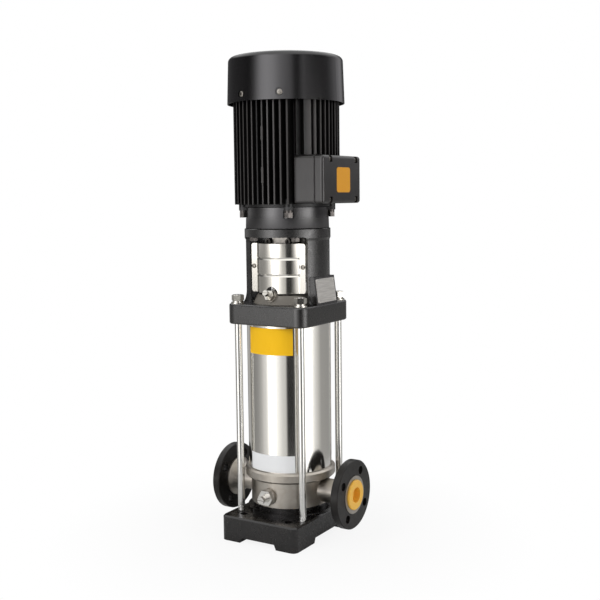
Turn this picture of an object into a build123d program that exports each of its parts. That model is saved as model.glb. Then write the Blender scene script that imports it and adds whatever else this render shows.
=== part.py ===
from build123d import *
import os
from math import atan2, cos, degrees, radians, sin, sqrt, tan

# Vertical multistage centrifugal pump with in-line ports and a flanged, fan-cooled motor on top.
# Millimetres. The origin is the middle of the footprint on the floor, and +Z runs up the shaft.
# The ports lie along X, with the outlet and the terminal box at +X. The drain and the vent face
# -Y, which is called the front. Angles "from the front" turn from -Y towards +X.

# Fits and clearances, all radial or face to face
FIT = 0.02            # a hub, ring or bush on its seat
SCREW_FIT = 0.05      # a threaded piece in its hole
RUNNING_FIT = 0.06    # a shaft or a loose flange that turns on its seat
RUNNING_GAP = 0.6     # parts that turn past each other without touching
SEAL_GAP = 0.1        # the two faces of the shaft seal

# Base casting
BASE_WIDTH = 146.0         # across X
BASE_LENGTH = 208.0        # across Y
BASE_HEIGHT = 42.0
BASE_CORNER_R = 10.0
BASE_EDGE = 2.5
BASE_RING_R = 73.0
BASE_RING_RISE = 4.5
BASE_NECK_R = 63.0
BASE_NECK_RISE = 9.0
BASE_NECK_BORE_R = 50.0
BASE_POCKET = (100.0, 120.0, 24.0)   # hollow underside: across X, across Y, up
FOOT_GAP_X = 71.0          # between the feet, seen from the front
FOOT_GAP_Y = 88.0          # between the feet, seen from the side
FOOT_GAP_HEIGHT = 8.5
FOOT_SLOPE = 3.5
FOUNDATION_X = 44.0        # half spacing of the foundation holes
FOUNDATION_Y = 78.5
FOUNDATION_HOLE_R = 6.5
FOUNDATION_FACE_R = 12.0
FOUNDATION_FACE_DEPTH = 0.8

# Inlet and outlet casing
CASING_R = 66.9
CASING_WALL = 3.5
CASING_FLOOR = 4.0
CASING_HEIGHT = 43.5
CASING_RING_R = 76.5
CASING_RING_HEIGHT = 17.0
CASING_RING_EDGE = 3.0
CASING_GROOVE = (1.4, 2.0)  # under the ring: depth, height
CUP_R = 40.0               # inner cup that feeds the first impeller
CUP_WALL = 3.0
CUP_BELOW_RING = 1.5
PORT_HEIGHT = 78.5
PORT_FACE = 125.0          # half of the face-to-face length
NOZZLE_R = 20.0
NOZZLE_BORE_R = 15.0
STUB_R = 29.5
STUB_SHOULDER_R = 33.5     # collar of the stub end behind the loose flange
STUB_SHOULDER = 3.0
STUB_CONE_LENGTH = 14.0
STUB_LIP_R = 31.5
STUB_LIP = 2.5
DRAIN_HEIGHT = 74.5
DRAIN_BOSS_R = 14.0
DRAIN_BOSS_RISE = 3.5

# Loose port flanges and their transport caps
FLANGE_R = 57.5
FLANGE_THICKNESS = 13.5
FLANGE_SETBACK = 0.8       # flange face behind the stub face
FLANGE_BOLT_CIRCLE_R = 42.5
FLANGE_HOLE_R = 7.0
FLANGE_HOLES = 4
FLANGE_TURN = 58.3         # first hole of both flanges, from +Y round to +Z
FLANGE_EDGE = 1.2
LIP_CLEARANCE = 0.4
CAP_R = 25.0
CAP_THICKNESS = 3.5
CAP_PLUG_LENGTH = 14.0
CAP_PLUG_CLEARANCE = 0.3
CAP_RECESS_R = 12.8
CAP_RECESS_DEPTH = 11.0

# Drain plug with its small bypass screw
DRAIN_THREAD_R = 8.5
DRAIN_THREAD_LENGTH = 9.0
DRAIN_HEX = 24.0
DRAIN_HEX_THICKNESS = 8.0
WASHER_THICKNESS = 1.5
DRAIN_WASHER_R = 12.8
DRAIN_STUB_R = 7.5
DRAIN_STUB_LENGTH = 3.0
DRAIN_SCREW_R = 3.5
DRAIN_SCREW_HEAD_R = 6.0
DRAIN_SCREW_HEAD = 10.5
DRAIN_SCREW_DEPTH = 9.0
DRAIN_SCREW_SLOT = 1.5

# Outer sleeve and the rods that clamp it
SLEEVE_R = 70.6
SLEEVE_WALL = 1.5
SLEEVE_LENGTH_SHOWN = 244.8
SLEEVE_SEAT = 5.5          # length let into the casing and the head
SLEEVE_CLEARANCE = 0.1
UPPER_LABEL = (-32.0, 37.5, 197.0, 241.0)   # angles from the front, heights above the ring
LOWER_LABEL = (-32.0, 38.5, 1.5, 29.8)
LABEL_THICKNESS = 0.3
LABEL_CLEARANCE = 0.1
SLEEVE_GASKET = 1.0
ROD_R = 6.0
ROD_SPACING = 61.0         # half spacing of the tie rods
ROD_THREAD_LENGTH = 24.0
ROD_END = 0.4              # rod shown above its nut
NUT_HEX = 18.0
NUT_THICKNESS = 9.8 
ROD_WASHER_R = 11.4
ROD_WASHER_THICKNESS = 2.2
LOCK_WASHER_R = 9.0
LOCK_WASHER_THICKNESS = 2.5
LOCK_WASHER_SPLIT = 1.5
HEAD_HOLE_CLEARANCE = 1.0

# Head and motor stool, one casting
HEAD_SIZE = 153.0
HEAD_HEIGHT = 33.5
HEAD_CORNER_R = 18.0
HEAD_EDGE = 3.0
HEAD_BORE_R = 55.0
COVER_SEAT_R = 59.4
COVER_SEAT_DEPTH = 10.5
STOOL_R = 70.2
STOOL_BORE_R = 62.8
STOOL_HEIGHT = 123.8
STOOL_FOOT = 8.0           # sweep of the columns' feet, outwards
STOOL_FOOT_HEIGHT = 22.0
STOOL_RIM_R = 71.9
STOOL_RIM = 13.6
STOOL_RIM_LIP = 1.5        # rim's lower edge below the windows' top
STOOL_RIM_SLOPE = 4.0
SEAM_EDGE = 0.9            # broken edges at the joint faces of stool and motor
WINDOW_HALF_ANGLE = 60.0
WINDOW_CORNER_R = 9.0
WINDOW_START_R = 30.0      # windows' inner end, inside the stool's bore
REGISTER_R = 47.5          # motor spigot
REGISTER_DEPTH = 3.0
MOTOR_BOLT_CIRCLE_R = 57.5
MOTOR_BOLT_R = 4.0
MOTOR_BOLT_ANGLE = 45.0
STOOL_HOLE_CLEARANCE = 0.5
BOLT_HEX = 13.0
BOLT_HEAD = 5.5
BOLT_WASHER_R = 8.0
BOLT_GRIP = 12.0           # thread in the second piece
LUG_ON_FRAME = 13.0
LUG_WIDTH_Z = 16.0
LUG_INNER_X = 43.5
PLATE_BOSS_WIDTH = 66.0
PLATE_BOSS_HEIGHT = 45.0
PLATE_BOSS_PROUD = 5.8     # foot of the sloping pad, out from the columns
PLATE_TILT = 7.8
PLATE_WIDTH = 59.0
PLATE_HEIGHT = 39.0
PLATE_THICKNESS = 0.8
PLATE_FOOT = 3.0           # plate's lower edge above the head
PLATE_CORNER_R = 2.0

# Head cover, shaft seal and vent plug
COVER_R = 59.1
COVER_TOP_R = 51.0
COVER_RISE = 14.2          # top of the cone above the head plate
COVER_WALL = 5.5
COVER_LIP = 1.4            # cover's rim below the head's top face
SEAT_R = 14.0
SEAT_HEIGHT = 8.0
SEAL_R = 17.0
SEAL_LENGTH = 22.0
VENT_TILT = 24.0           # axis above the horizontal
VENT_RISE = 5.9            # vent's centre above the middle of the cone
VENT_THREAD_R = 6.0
VENT_WASHER_R = 9.0 
VENT_FACE_R = 11.0         # flat spot faced on the cone for the washer
VENT_SPOT_R = 13.0         # cut that faces it
VENT_HEX = 15.6
VENT_HEX_THICKNESS = 7.5
VENT_COLLAR_R = 6.8
VENT_COLLAR = 3.0
VENT_SCREW_R = 2.5
VENT_SCREW_HEAD_R = 4.7
VENT_SCREW_HEAD = 9.0
VENT_SCREW_DEPTH = 8.0
VENT_SCREW_SLOT = 1.3

# Coupling and its guards
PUMP_SHAFT_R = 8.0
MOTOR_SHAFT_R = 12.0
COUPLING_R = 29.0
COUPLING_FLAT = 25.0       # bolt faces, from the split
COUPLING_LENGTH = 80.0
COUPLING_SPLIT = 2.0
COUPLING_ABOVE_WINDOW = 6.0
SHAFT_END_GAP = 2.0
COUPLING_GRIP = 38.0       # length clamped on each shaft
COUPLING_BOLT_X = 19.5
COUPLING_BOLT_R = 3.0
COUPLING_BOLT_HEAD_R = 5.0
COUPLING_BOLT_HEAD = 6.0
COUPLING_BOLT_FROM_END = 14.0
PIN_R = 2.5
PIN_LENGTH = 36.0
GUARD_R = 52.0
GUARD_SHEET = 1.2
GUARD_FLANGE_Y = 30.4
GUARD_FLANGE_X = 52.6
GUARD_ABOVE_HEAD = 17.7
GUARD_CORNER_R = 4.0
GUARD_BELOW_RIM = 11.0
GUARD_BEAD = 1.0           # pressed inwards
GUARD_BEAD_HEIGHT = 4.5
GUARD_BEADS = (29.5, 57.0)   # from the guard's lower edge
GUARD_NOTCH_R = 11.5
GUARD_SCREW_X = 48.0
GUARD_SCREW_RISE = 2.5     # above the guard's middle
GUARD_SCREW_R = 2.5
GUARD_SCREW_HEAD_R = 3.8
GUARD_SCREW_HEAD = 2.6
GUARD_SCREW_LENGTH = 9.0
MARGIN = 1.0               # by which a thread or a cut runs on, or a screw ends short

# Hydraulic stack
STAGES = 5
STAGE_PITCH = 43.0
CHAMBER_R = 54.0
CHAMBER_WALL = 1.5
CHAMBER_SPIGOT = 3.0
GUIDE_VANES = 6
GUIDE_VANE_HEIGHT = 16.0
IMPELLER_R = 45.0
SHROUD = 1.5
VANE_HEIGHT = 9.0
VANE_THICKNESS = 1.6
IMPELLER_VANES = 6
VANE_SWEEP = 0.62          # radius of a vane's curve, in impeller radii
VANE_CENTRE = 0.86         # how far in that curve's centre lies, in curve radii
EYE_R = 17.0
EYE_WALL = 1.6
HUB_R = 11.5
HUB_BELOW = 2.0
GAP_UNDER_IMPELLER = 5.0
BUSH_WALL = 3.0
SPIDER_HEIGHT = 6.0
SPIDER_ARMS = 4
SPIDER_ARM = 6.0
STRAP_WIDTH = 16.0
STRAP_THICKNESS = 2.5
STRAP_ANGLES = (40.0, 140.0, 220.0, 320.0)
TOP_RING_HEIGHT = 9.0

# Motor
MOTOR_FACE_R = 69.7
BELL_TOP_R = 68.6
BELL_HEIGHT = 35.4
BELL_WALL = 8.0
BELL_FACE = 8.4
SPIGOT_R = 66.0
SPIGOT = 5.0
BELL_BOLT_CIRCLE_R = 72.5
BELL_BOLT_ANGLE = 34.0
BELL_BOLTS = 4
BELL_LUG_R = 8.0
BELL_LUG_HEIGHT = 5.5
BELL_POCKET_R = 9.8        # room for the bolt heads in the bell's wall
BELL_BOLT_HEAD = 8.0
BELL_WASHER = 3.6
BEARING_R = 26.0
BEARING_BORE_R = 12.5
BEARING_WIDTH = 15.0
BEARING_RACE = 5.0
BEARING_HOUSING_WALL = 5.0
SHAFT_HOLE_GAP = 1.0
BARREL_R = 74.0
FRAME_LENGTH = 173.0
FIN_TIP_R = 87.6
FIN_THICKNESS = 2.2
FIN_PITCH = 9.6
FIN_START = 4.5            # plain rim below the fins
FRAME_RIM_R = 71.5
FRONT_FINS = 11
SIDE_FINS = 9
CORNER_RIB_ANGLE = 43.0
PAD_ANGLE = 55.0
PAD_WIDTH = 12.5
PAD_FACE = 87.0
FIN_BOSSES = ((38.5, 63.5), (106.0, 127.5))   # heights above the frame's lower end
FIN_BOSS_WIDTH = 3.6
FIN_BOSS_DEPTH = 3.5
FIN_BOSS_PROUD = 0.6
STATOR_BORE_R = 40.0
STATOR_LENGTH = 115.0
STATOR_START = 24.0        # above the frame's lower end
WINDING_R = (45.0, 62.0)
WINDING_HEIGHT = 14.0
AIR_GAP = 0.5
ROTOR_SHAFT_R = 16.0
CAGE_RING_R = (24.0, 36.0)
CAGE_RING_HEIGHT = 9.0
SHIELD_HEIGHT = 18.0
SHIELD_R = 80.0
SHIELD_PLATE = 7.0
COWL_LUG_WIDTH = 13.0
COWL_LUG_HEIGHT = 14.0

# Fan and cowl
FAN_SHAFT_R = 9.0
FAN_HUB_R = 16.0
FAN_R = 74.0
FAN_BLADES = 8
FAN_BLADE = 2.2
FAN_HEIGHT = 26.0
FAN_PLATE = 2.5
FAN_ABOVE_SHIELD = 4.0
FAN_TIP_DROP = 4.0         # blades' upper edge: lower at the tip and at the hub
FAN_HUB_DROP = 6.0
FAN_CROWN = (0.4, 0.75)    # its level part, in fan radii
COWL_R = 96.8
COWL_TAPER = 2.6           # by which the cowl's top is narrower, in radius
COWL_WALL = 1.8
COWL_HEIGHT = 75.2
COWL_OVERLAP = 5.0         # cowl's lower edge below the frame's upper end
COWL_EDGE_R = 8.0
COWL_SCREW_HEIGHT = 11.0   # above the cowl's lower edge
COWL_SCREW_ANGLES = (-15.2, 26.4, 164.8, 206.4)
COWL_SCREW_R = 2.5
COWL_SCREW_HEAD_R = 4.6
COWL_SCREW_HEAD = 2.6
COWL_SCREW_LENGTH = 9.0
COWL_DIMPLE_R = 7.0        # pressed seat of each screw
COWL_DIMPLE = 2.5
COWL_LUG_GAP = 0.4
GRILLE_RINGS = (33.0, 48.0, 63.0, 78.0)
GRILLE_SLOT = 6.0
GRILLE_BARS = 2            # bars straight across the slots
GRILLE_TURN = 45.0
GRILLE_RIB = 7.0

# Terminal box
BOX_WIDTH = 123.8          # across Y
BOX_HEIGHT = 76.3
BOX_ABOVE_FRAME_END = 5.0
BOX_BACK_X = 53.0
BOX_SEAM_X = 89.9
BOX_FRONT_X = 106.0
BOX_SADDLE_GAP = 0.3
BOX_WALL = 4.0
BOX_EDGE_R = 5.0
GASKET_THICKNESS = 0.8
COVER_SCREW_Y = 41.5       # half spacing
COVER_SCREW_SHIFT = 4.5    # their middle, towards +Y
COVER_SCREW_Z = 31.8       # half spacing
COVER_POCKET = (9.0, 4.5, 4.0)   # width, reach below or above a screw, depth
COVER_SCREW_R = 2.0
COVER_SCREW_HEAD_R = 3.4
COVER_SCREW_HEAD = 2.4
COVER_SCREW_LENGTH = 26.0
WIRE_HOLE_R = 12.0
BOARD = (5.0, 44.0, 34.0)  # thick, across Y, up
STUD_COUNTS = (3, 2)
BOARD_HOLE_R = 4.0
STUD_ROW_PITCH = 19.5
STUD_PITCH = 13.0
STUD_R = 2.0
STUD_LENGTH = 5.0
BOX_FLOOR_WALL = 2.5
GLAND_HEX = 20.0
GLAND_HEX_THICKNESS = 6.0
GLAND_NUT_R = 9.5
GLAND_NUT_LENGTH = 12.0
GLAND_BORE_R = 5.0
GLAND_EDGE = 2.5
GLAND_FROM_SEAM = 2.0
BOX_FIN_GAP = 1.5

# Heights and lengths that follow from the sizes above
NECK_TOP = BASE_HEIGHT + BASE_RING_RISE + BASE_NECK_RISE
RING_BOTTOM = NECK_TOP + CASING_HEIGHT
RING_TOP = RING_BOTTOM + CASING_RING_HEIGHT
STACK_BOTTOM = RING_TOP - CUP_BELOW_RING
HEAD_BOTTOM = RING_TOP + SLEEVE_LENGTH_SHOWN
HEAD_TOP = HEAD_BOTTOM + HEAD_HEIGHT
STOOL_TOP = HEAD_TOP + STOOL_HEIGHT
WINDOW_TOP = STOOL_TOP - STOOL_RIM
BELL_TOP = STOOL_TOP + BELL_HEIGHT
FRAME_TOP = BELL_TOP + FRAME_LENGTH
SHIELD_TOP = FRAME_TOP + SHIELD_HEIGHT
COWL_BOTTOM = FRAME_TOP - COWL_OVERLAP
COWL_TOP = COWL_BOTTOM + COWL_HEIGHT
COWL_TOP_R = COWL_R - COWL_TAPER
COWL_SEAT_R = COWL_R - COWL_DIMPLE
COUPLING_TOP = WINDOW_TOP + COUPLING_ABOVE_WINDOW
COUPLING_BOTTOM = COUPLING_TOP - COUPLING_LENGTH
GUARD_TOP = WINDOW_TOP - GUARD_BELOW_RIM
GUARD_BOTTOM = HEAD_TOP + GUARD_ABOVE_HEAD
GUARD_SCREW_HEIGHT = (GUARD_BOTTOM + GUARD_TOP) / 2 + GUARD_SCREW_RISE
COVER_TOP = HEAD_TOP + COVER_RISE
PLATE_BOSS_FOOT_X = STOOL_R + PLATE_BOSS_PROUD
BOX_BOTTOM = BELL_TOP + BOX_ABOVE_FRAME_END
BOX_MIDDLE = BOX_BOTTOM + BOX_HEIGHT / 2
SLEEVE_SEAT_R = SLEEVE_R + SLEEVE_CLEARANCE
FLANGE_FRONT = PORT_FACE - FLANGE_SETBACK
FLANGE_BACK = FLANGE_FRONT - FLANGE_THICKNESS
SHOULDER_FRONT = FLANGE_BACK - RUNNING_GAP
SHOULDER_BACK = SHOULDER_FRONT - STUB_SHOULDER
CHAMBER_STACK_TOP = STACK_BOTTOM + STAGES * STAGE_PITCH
PUMP_SHAFT_TOP = COUPLING_BOTTOM + COUPLING_GRIP
MOTOR_SHAFT_BOTTOM = PUMP_SHAFT_TOP + SHAFT_END_GAP
LOW = (Align.CENTER, Align.CENTER, Align.MIN)


# Helpers
def turned(*points):
    """Solid of revolution about Z from (radius, height) points."""
    return revolve(Plane.XZ * Polygon(*points, align=None), Axis.Z)


def tube(outer_r, inner_r, low, high):
    """Straight tube about Z between two heights."""
    return turned((inner_r, low), (outer_r, low), (outer_r, high), (inner_r, high))


def rod(radius, low, high):
    """Round bar about Z between two heights."""
    return Pos(0, 0, low) * Cylinder(radius, high - low, align=LOW)


def hexagon(across_flats, low, high):
    """Hexagon bar about Z between two heights."""
    return Pos(0, 0, low) * extrude(RegularPolygon(across_flats / 2, 6, major_radius=False), high - low)


def box(x, y, z):
    """Block from (low, high) pairs along X, Y and Z."""
    middle = [(low + high) / 2 for low, high in (x, y, z)]
    return Pos(*middle) * Box(x[1] - x[0], y[1] - y[0], z[1] - z[0])


def from_front(angle, shape):
    """Turn a shape that points to -Y by an angle about the shaft."""
    return Rot(0, 0, angle) * shape


def forward(shape):
    """Lay a shape that points up so that it points to -Y."""
    return Rot(90, 0, 0) * shape


def outward(side, shape):
    """Lay a shape that points up so that it points to +X (side 1) or -X (side -1)."""
    return Rot(0, 90 * side, 0) * shape


def group(shapes):
    """Separate like solids as one node."""
    return Compound(children=[solid for shape in shapes for solid in shape.solids()])


def polar_xy(radius, angle):
    """Place on a circle at an angle from the front."""
    return radius * sin(radians(angle)), -radius * cos(radians(angle))


def bolt(radius, across_flats, head, length, washer_r=0.0, washer=0.0):
    """Hexagon bolt pointing up: washer face at height 0, head below, thread above."""
    shape = hexagon(across_flats, -washer - head, -washer) + rod(radius, -washer, length)
    if washer:
        shape += rod(washer_r, -washer, 0)
    return shape


def headed_screw(radius, head_r, head, length):
    """Round-headed screw: head above height 0, thread below."""
    return rod(head_r, 0, head) + rod(radius, -length, 0)


# Base casting
def base_plate():
    """Heavy cast foot: four feet, hollow underside, ring and neck that carry the casing."""
    plate = extrude(RectangleRounded(BASE_WIDTH, BASE_LENGTH, BASE_CORNER_R), BASE_HEIGHT)
    plate = chamfer(plate.edges().group_by(Axis.Z)[-1], BASE_EDGE)
    ring_top = BASE_HEIGHT + BASE_RING_RISE
    plate += turned((0, BASE_HEIGHT), (BASE_RING_R, BASE_HEIGHT), (BASE_RING_R, ring_top),
                    (BASE_NECK_R, ring_top), (BASE_NECK_R, NECK_TOP), (0, NECK_TOP))
    plate -= rod(BASE_NECK_BORE_R, BASE_HEIGHT, NECK_TOP)
    for gap, run, turn in ((FOOT_GAP_X, BASE_LENGTH, 0), (FOOT_GAP_Y, BASE_WIDTH, 90)):
        half = gap / 2
        outline = Polygon((-half, 0), (half, 0), (half - FOOT_SLOPE, FOOT_GAP_HEIGHT),
                          (FOOT_SLOPE - half, FOOT_GAP_HEIGHT), align=None)
        plate -= Rot(0, 0, turn) * extrude(Plane.XZ * outline, run / 2, both=True)
    width, length, depth = BASE_POCKET
    plate -= Box(width, length, depth, align=LOW)
    for x, y in ((i, j) for i in (-1, 1) for j in (-1, 1)):
        hole = rod(FOUNDATION_HOLE_R, 0, BASE_HEIGHT)
        face = rod(FOUNDATION_FACE_R, BASE_HEIGHT - FOUNDATION_FACE_DEPTH, BASE_HEIGHT)
        plate -= Pos(x * FOUNDATION_X, y * FOUNDATION_Y, 0) * (hole + face)
        thread = rod(ROD_R + SCREW_FIT, BASE_HEIGHT - ROD_THREAD_LENGTH, BASE_HEIGHT + BASE_RING_RISE)
        plate -= Pos(x * ROD_SPACING, y * ROD_SPACING, 0) * thread
    return plate


# Inlet and outlet casing with its two stub ends
def nozzle(side):
    """One nozzle with its coned stub end and the lip that holds the loose flange."""
    cone_start = SHOULDER_BACK - STUB_CONE_LENGTH
    profile = turned((0, 0), (NOZZLE_R, 0), (NOZZLE_R, cone_start), (STUB_SHOULDER_R, SHOULDER_BACK),
                     (STUB_SHOULDER_R, SHOULDER_FRONT), (STUB_R, SHOULDER_FRONT),
                     (STUB_R, PORT_FACE - STUB_LIP), (STUB_LIP_R, PORT_FACE - STUB_LIP),
                     (STUB_LIP_R, PORT_FACE), (0, PORT_FACE))
    return Pos(0, 0, PORT_HEIGHT) * outward(side, profile)


def casing():
    """Welded chamber: the inlet feeds the inner cup, and the outlet leaves the ring space."""
    body = rod(CASING_R, NECK_TOP, RING_BOTTOM)
    collar = rod(CASING_RING_R, RING_BOTTOM, RING_TOP)
    body += chamfer(collar.edges(), CASING_RING_EDGE)
    depth, height = CASING_GROOVE
    body -= tube(CASING_R + MARGIN, CASING_R - depth, RING_BOTTOM - height, RING_BOTTOM)
    body += nozzle(1) + nozzle(-1)
    boss = rod(DRAIN_BOSS_R, CASING_R / 2, CASING_R + DRAIN_BOSS_RISE)
    body += Pos(0, 0, DRAIN_HEIGHT) * forward(boss)

    floor = NECK_TOP + CASING_FLOOR
    inner_r = CASING_R - CASING_WALL
    ring_space = tube(inner_r, CUP_R, floor, RING_TOP)
    suction_pipe = outward(-1, rod(NOZZLE_R, CUP_R - CUP_WALL, CASING_R))
    body -= ring_space - Pos(0, 0, PORT_HEIGHT) * suction_pipe
    body -= rod(CUP_R, STACK_BOTTOM, RING_TOP)
    body -= rod(CUP_R - CUP_WALL, floor, STACK_BOTTOM)
    body -= rod(SLEEVE_SEAT_R, RING_TOP - SLEEVE_SEAT, RING_TOP)

    for side, start in ((-1, 0), (1, CUP_R)):
        bore = outward(side, rod(NOZZLE_BORE_R, start, PORT_FACE))
        body -= Pos(0, 0, PORT_HEIGHT) * bore
    hole = rod(DRAIN_THREAD_R + SCREW_FIT, CUP_R, CASING_R + DRAIN_BOSS_RISE)
    return body - Pos(0, 0, DRAIN_HEIGHT) * forward(hole)


# Loose flanges and caps
def port_flange(side, turn):
    """Loose flange that turns freely on its stub end, held by the lip."""
    plate = rod(FLANGE_R, FLANGE_BACK, FLANGE_FRONT)
    plate = chamfer(plate.edges(), FLANGE_EDGE)
    plate -= rod(STUB_R + RUNNING_FIT, FLANGE_BACK, FLANGE_FRONT)
    plate -= rod(STUB_LIP_R + LIP_CLEARANCE, PORT_FACE - STUB_LIP - LIP_CLEARANCE, FLANGE_FRONT)
    step = 360 / FLANGE_HOLES
    for index in range(FLANGE_HOLES):
        angle = radians(turn + index * step)
        # the upright shape's -X side becomes the top once it is laid towards +X
        place = Pos(-side * FLANGE_BOLT_CIRCLE_R * sin(angle), FLANGE_BOLT_CIRCLE_R * cos(angle), 0)
        plate -= place * rod(FLANGE_HOLE_R, FLANGE_BACK, FLANGE_FRONT)
    return Pos(0, 0, PORT_HEIGHT) * outward(side, plate)


def port_cap(side):
    """Push-in plastic cap: a disc on the stub face and a hollow plug in the bore."""
    disc = rod(CAP_R, PORT_FACE, PORT_FACE + CAP_THICKNESS)
    disc = chamfer(disc.edges().group_by(Axis.Z)[-1], CAP_THICKNESS * 0.4)
    cap = disc + rod(NOZZLE_BORE_R - CAP_PLUG_CLEARANCE, PORT_FACE - CAP_PLUG_LENGTH, PORT_FACE)
    front = PORT_FACE + CAP_THICKNESS
    cap -= rod(CAP_RECESS_R, front - CAP_RECESS_DEPTH, front)
    return Pos(0, 0, PORT_HEIGHT) * outward(side, cap)


# Drain plug, laid towards the front at the drain height
def at_drain(shape):
    """Shape built upwards, with height measured from the shaft axis to the front."""
    return Pos(0, 0, DRAIN_HEIGHT) * forward(shape)


DRAIN_SEAT = CASING_R + DRAIN_BOSS_RISE
DRAIN_HEX_BASE = DRAIN_SEAT + WASHER_THICKNESS
DRAIN_HEX_TOP = DRAIN_HEX_BASE + DRAIN_HEX_THICKNESS
DRAIN_TOP = DRAIN_HEX_TOP + DRAIN_STUB_LENGTH


def drain_plug():
    """Hexagon plug with a short stub that carries the bypass screw."""
    plug = hexagon(DRAIN_HEX, DRAIN_HEX_BASE, DRAIN_HEX_TOP) + rod(DRAIN_STUB_R, DRAIN_HEX_TOP, DRAIN_TOP)
    plug += rod(DRAIN_THREAD_R, DRAIN_SEAT - DRAIN_THREAD_LENGTH, DRAIN_HEX_BASE)
    return at_drain(plug - rod(DRAIN_SCREW_R + RUNNING_FIT, DRAIN_TOP - DRAIN_SCREW_DEPTH, DRAIN_TOP))


def drain_washer():
    """Sealing washer under the drain plug."""
    return at_drain(tube(DRAIN_WASHER_R, DRAIN_THREAD_R + SCREW_FIT, DRAIN_SEAT, DRAIN_HEX_BASE))


def drain_screw():
    """Small bypass screw with a round, slotted head."""
    gap = RUNNING_GAP / 2
    top = DRAIN_TOP + gap + DRAIN_SCREW_HEAD
    head = rod(DRAIN_SCREW_HEAD_R, DRAIN_TOP + gap, top)
    slot = DRAIN_SCREW_SLOT / 2
    head -= box((-DRAIN_SCREW_HEAD_R, DRAIN_SCREW_HEAD_R), (-slot, slot), (top - DRAIN_SCREW_SLOT, top))
    return at_drain(head + rod(DRAIN_SCREW_R, DRAIN_TOP - DRAIN_SCREW_DEPTH + gap, DRAIN_TOP + gap))


# Sleeve and tie rods
def outer_sleeve():
    """Thin rolled tube between the casing and the head."""
    inset = SLEEVE_SEAT - SLEEVE_GASKET
    return tube(SLEEVE_R, SLEEVE_R - SLEEVE_WALL, RING_TOP - inset, HEAD_BOTTOM + inset)


def sleeve_gaskets():
    """Flat sealing rings under the two ends of the sleeve."""
    ring = tube(SLEEVE_R, SLEEVE_R - SLEEVE_WALL, 0, SLEEVE_GASKET)
    seats = (RING_TOP - SLEEVE_SEAT, HEAD_BOTTOM + SLEEVE_SEAT - SLEEVE_GASKET)
    return group([Pos(0, 0, seat) * ring for seat in seats])


def sleeve_label(label):
    """Bare sticker on the front of the sleeve: angles from the front, then its heights above the ring."""
    start, end, low, high = label
    inner = SLEEVE_R + LABEL_CLEARANCE
    film = tube(inner + LABEL_THICKNESS, inner, RING_TOP + low, RING_TOP + high)
    near, far = polar_xy(2 * SLEEVE_R, start), polar_xy(2 * SLEEVE_R, end)
    front = (0, -3 * SLEEVE_R)
    wedge = Pos(0, 0, RING_TOP) * extrude(Polygon((0, 0), near, front, far, align=None), high)
    return film & wedge


def at_rods(shape):
    """The same piece at each of the four tie rods."""
    places = [(x, y) for x in (-1, 1) for y in (-1, 1)]
    return group([Pos(x * ROD_SPACING, y * ROD_SPACING, 0) * shape for x, y in places])


LOCK_WASHER_SEAT = HEAD_TOP + ROD_WASHER_THICKNESS
NUT_SEAT = LOCK_WASHER_SEAT + LOCK_WASHER_THICKNESS
ROD_TOP = NUT_SEAT + NUT_THICKNESS + ROD_END


def tie_rods():
    """Four studs from the base to the head."""
    return at_rods(rod(ROD_R, BASE_HEIGHT - ROD_THREAD_LENGTH, ROD_TOP))


def tie_rod_nuts():
    """Nuts that clamp the head."""
    top = NUT_SEAT + NUT_THICKNESS
    return at_rods(hexagon(NUT_HEX, NUT_SEAT, top) - rod(ROD_R + SCREW_FIT, NUT_SEAT, top))


def tie_rod_washers():
    """Plain washers on the head."""
    return at_rods(tube(ROD_WASHER_R, ROD_R + SCREW_FIT, HEAD_TOP, LOCK_WASHER_SEAT))


def tie_rod_lock_washers():
    """Split spring washers under the nuts."""
    z = (LOCK_WASHER_SEAT, NUT_SEAT)
    half = LOCK_WASHER_SPLIT / 2
    return at_rods(tube(LOCK_WASHER_R, ROD_R + SCREW_FIT, *z) - box((0, LOCK_WASHER_R), (-half, half), z))


# Head and motor stool
def window():
    """Wedge of space that opens one side of the stool between its two columns."""
    near = polar_xy(WINDOW_START_R, WINDOW_HALF_ANGLE)
    far = polar_xy(HEAD_SIZE, WINDOW_HALF_ANGLE)
    outline = Polygon((-near[0], near[1]), (-far[0], far[1]), (-far[0], -HEAD_SIZE), (far[0], -HEAD_SIZE),
                      far, near, align=None)
    wedge = Pos(0, 0, HEAD_TOP) * extrude(outline, WINDOW_TOP - HEAD_TOP)
    top_edges = wedge.edges().group_by(Axis.Z)[-1]
    slanted = [edge for edge in top_edges if abs(edge.tangent_at(0).X * edge.tangent_at(0).Y) > FIT]
    return fillet(slanted, WINDOW_CORNER_R)


def nameplate_boss():
    """Sloping pad on the outlet side that carries the rating plate."""
    top_x = PLATE_BOSS_FOOT_X - PLATE_BOSS_HEIGHT * tan(radians(PLATE_TILT))
    low, high = HEAD_TOP - HEAD_EDGE, HEAD_TOP + PLATE_BOSS_HEIGHT
    outline = Polygon((STOOL_BORE_R, low), (PLATE_BOSS_FOOT_X, low), (PLATE_BOSS_FOOT_X, HEAD_TOP),
                      (top_x, high), (STOOL_BORE_R, high), align=None)
    boss = extrude(Plane.XZ * outline, PLATE_BOSS_WIDTH / 2, both=True)
    return boss - rod(STOOL_BORE_R, HEAD_TOP, WINDOW_TOP)


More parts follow.
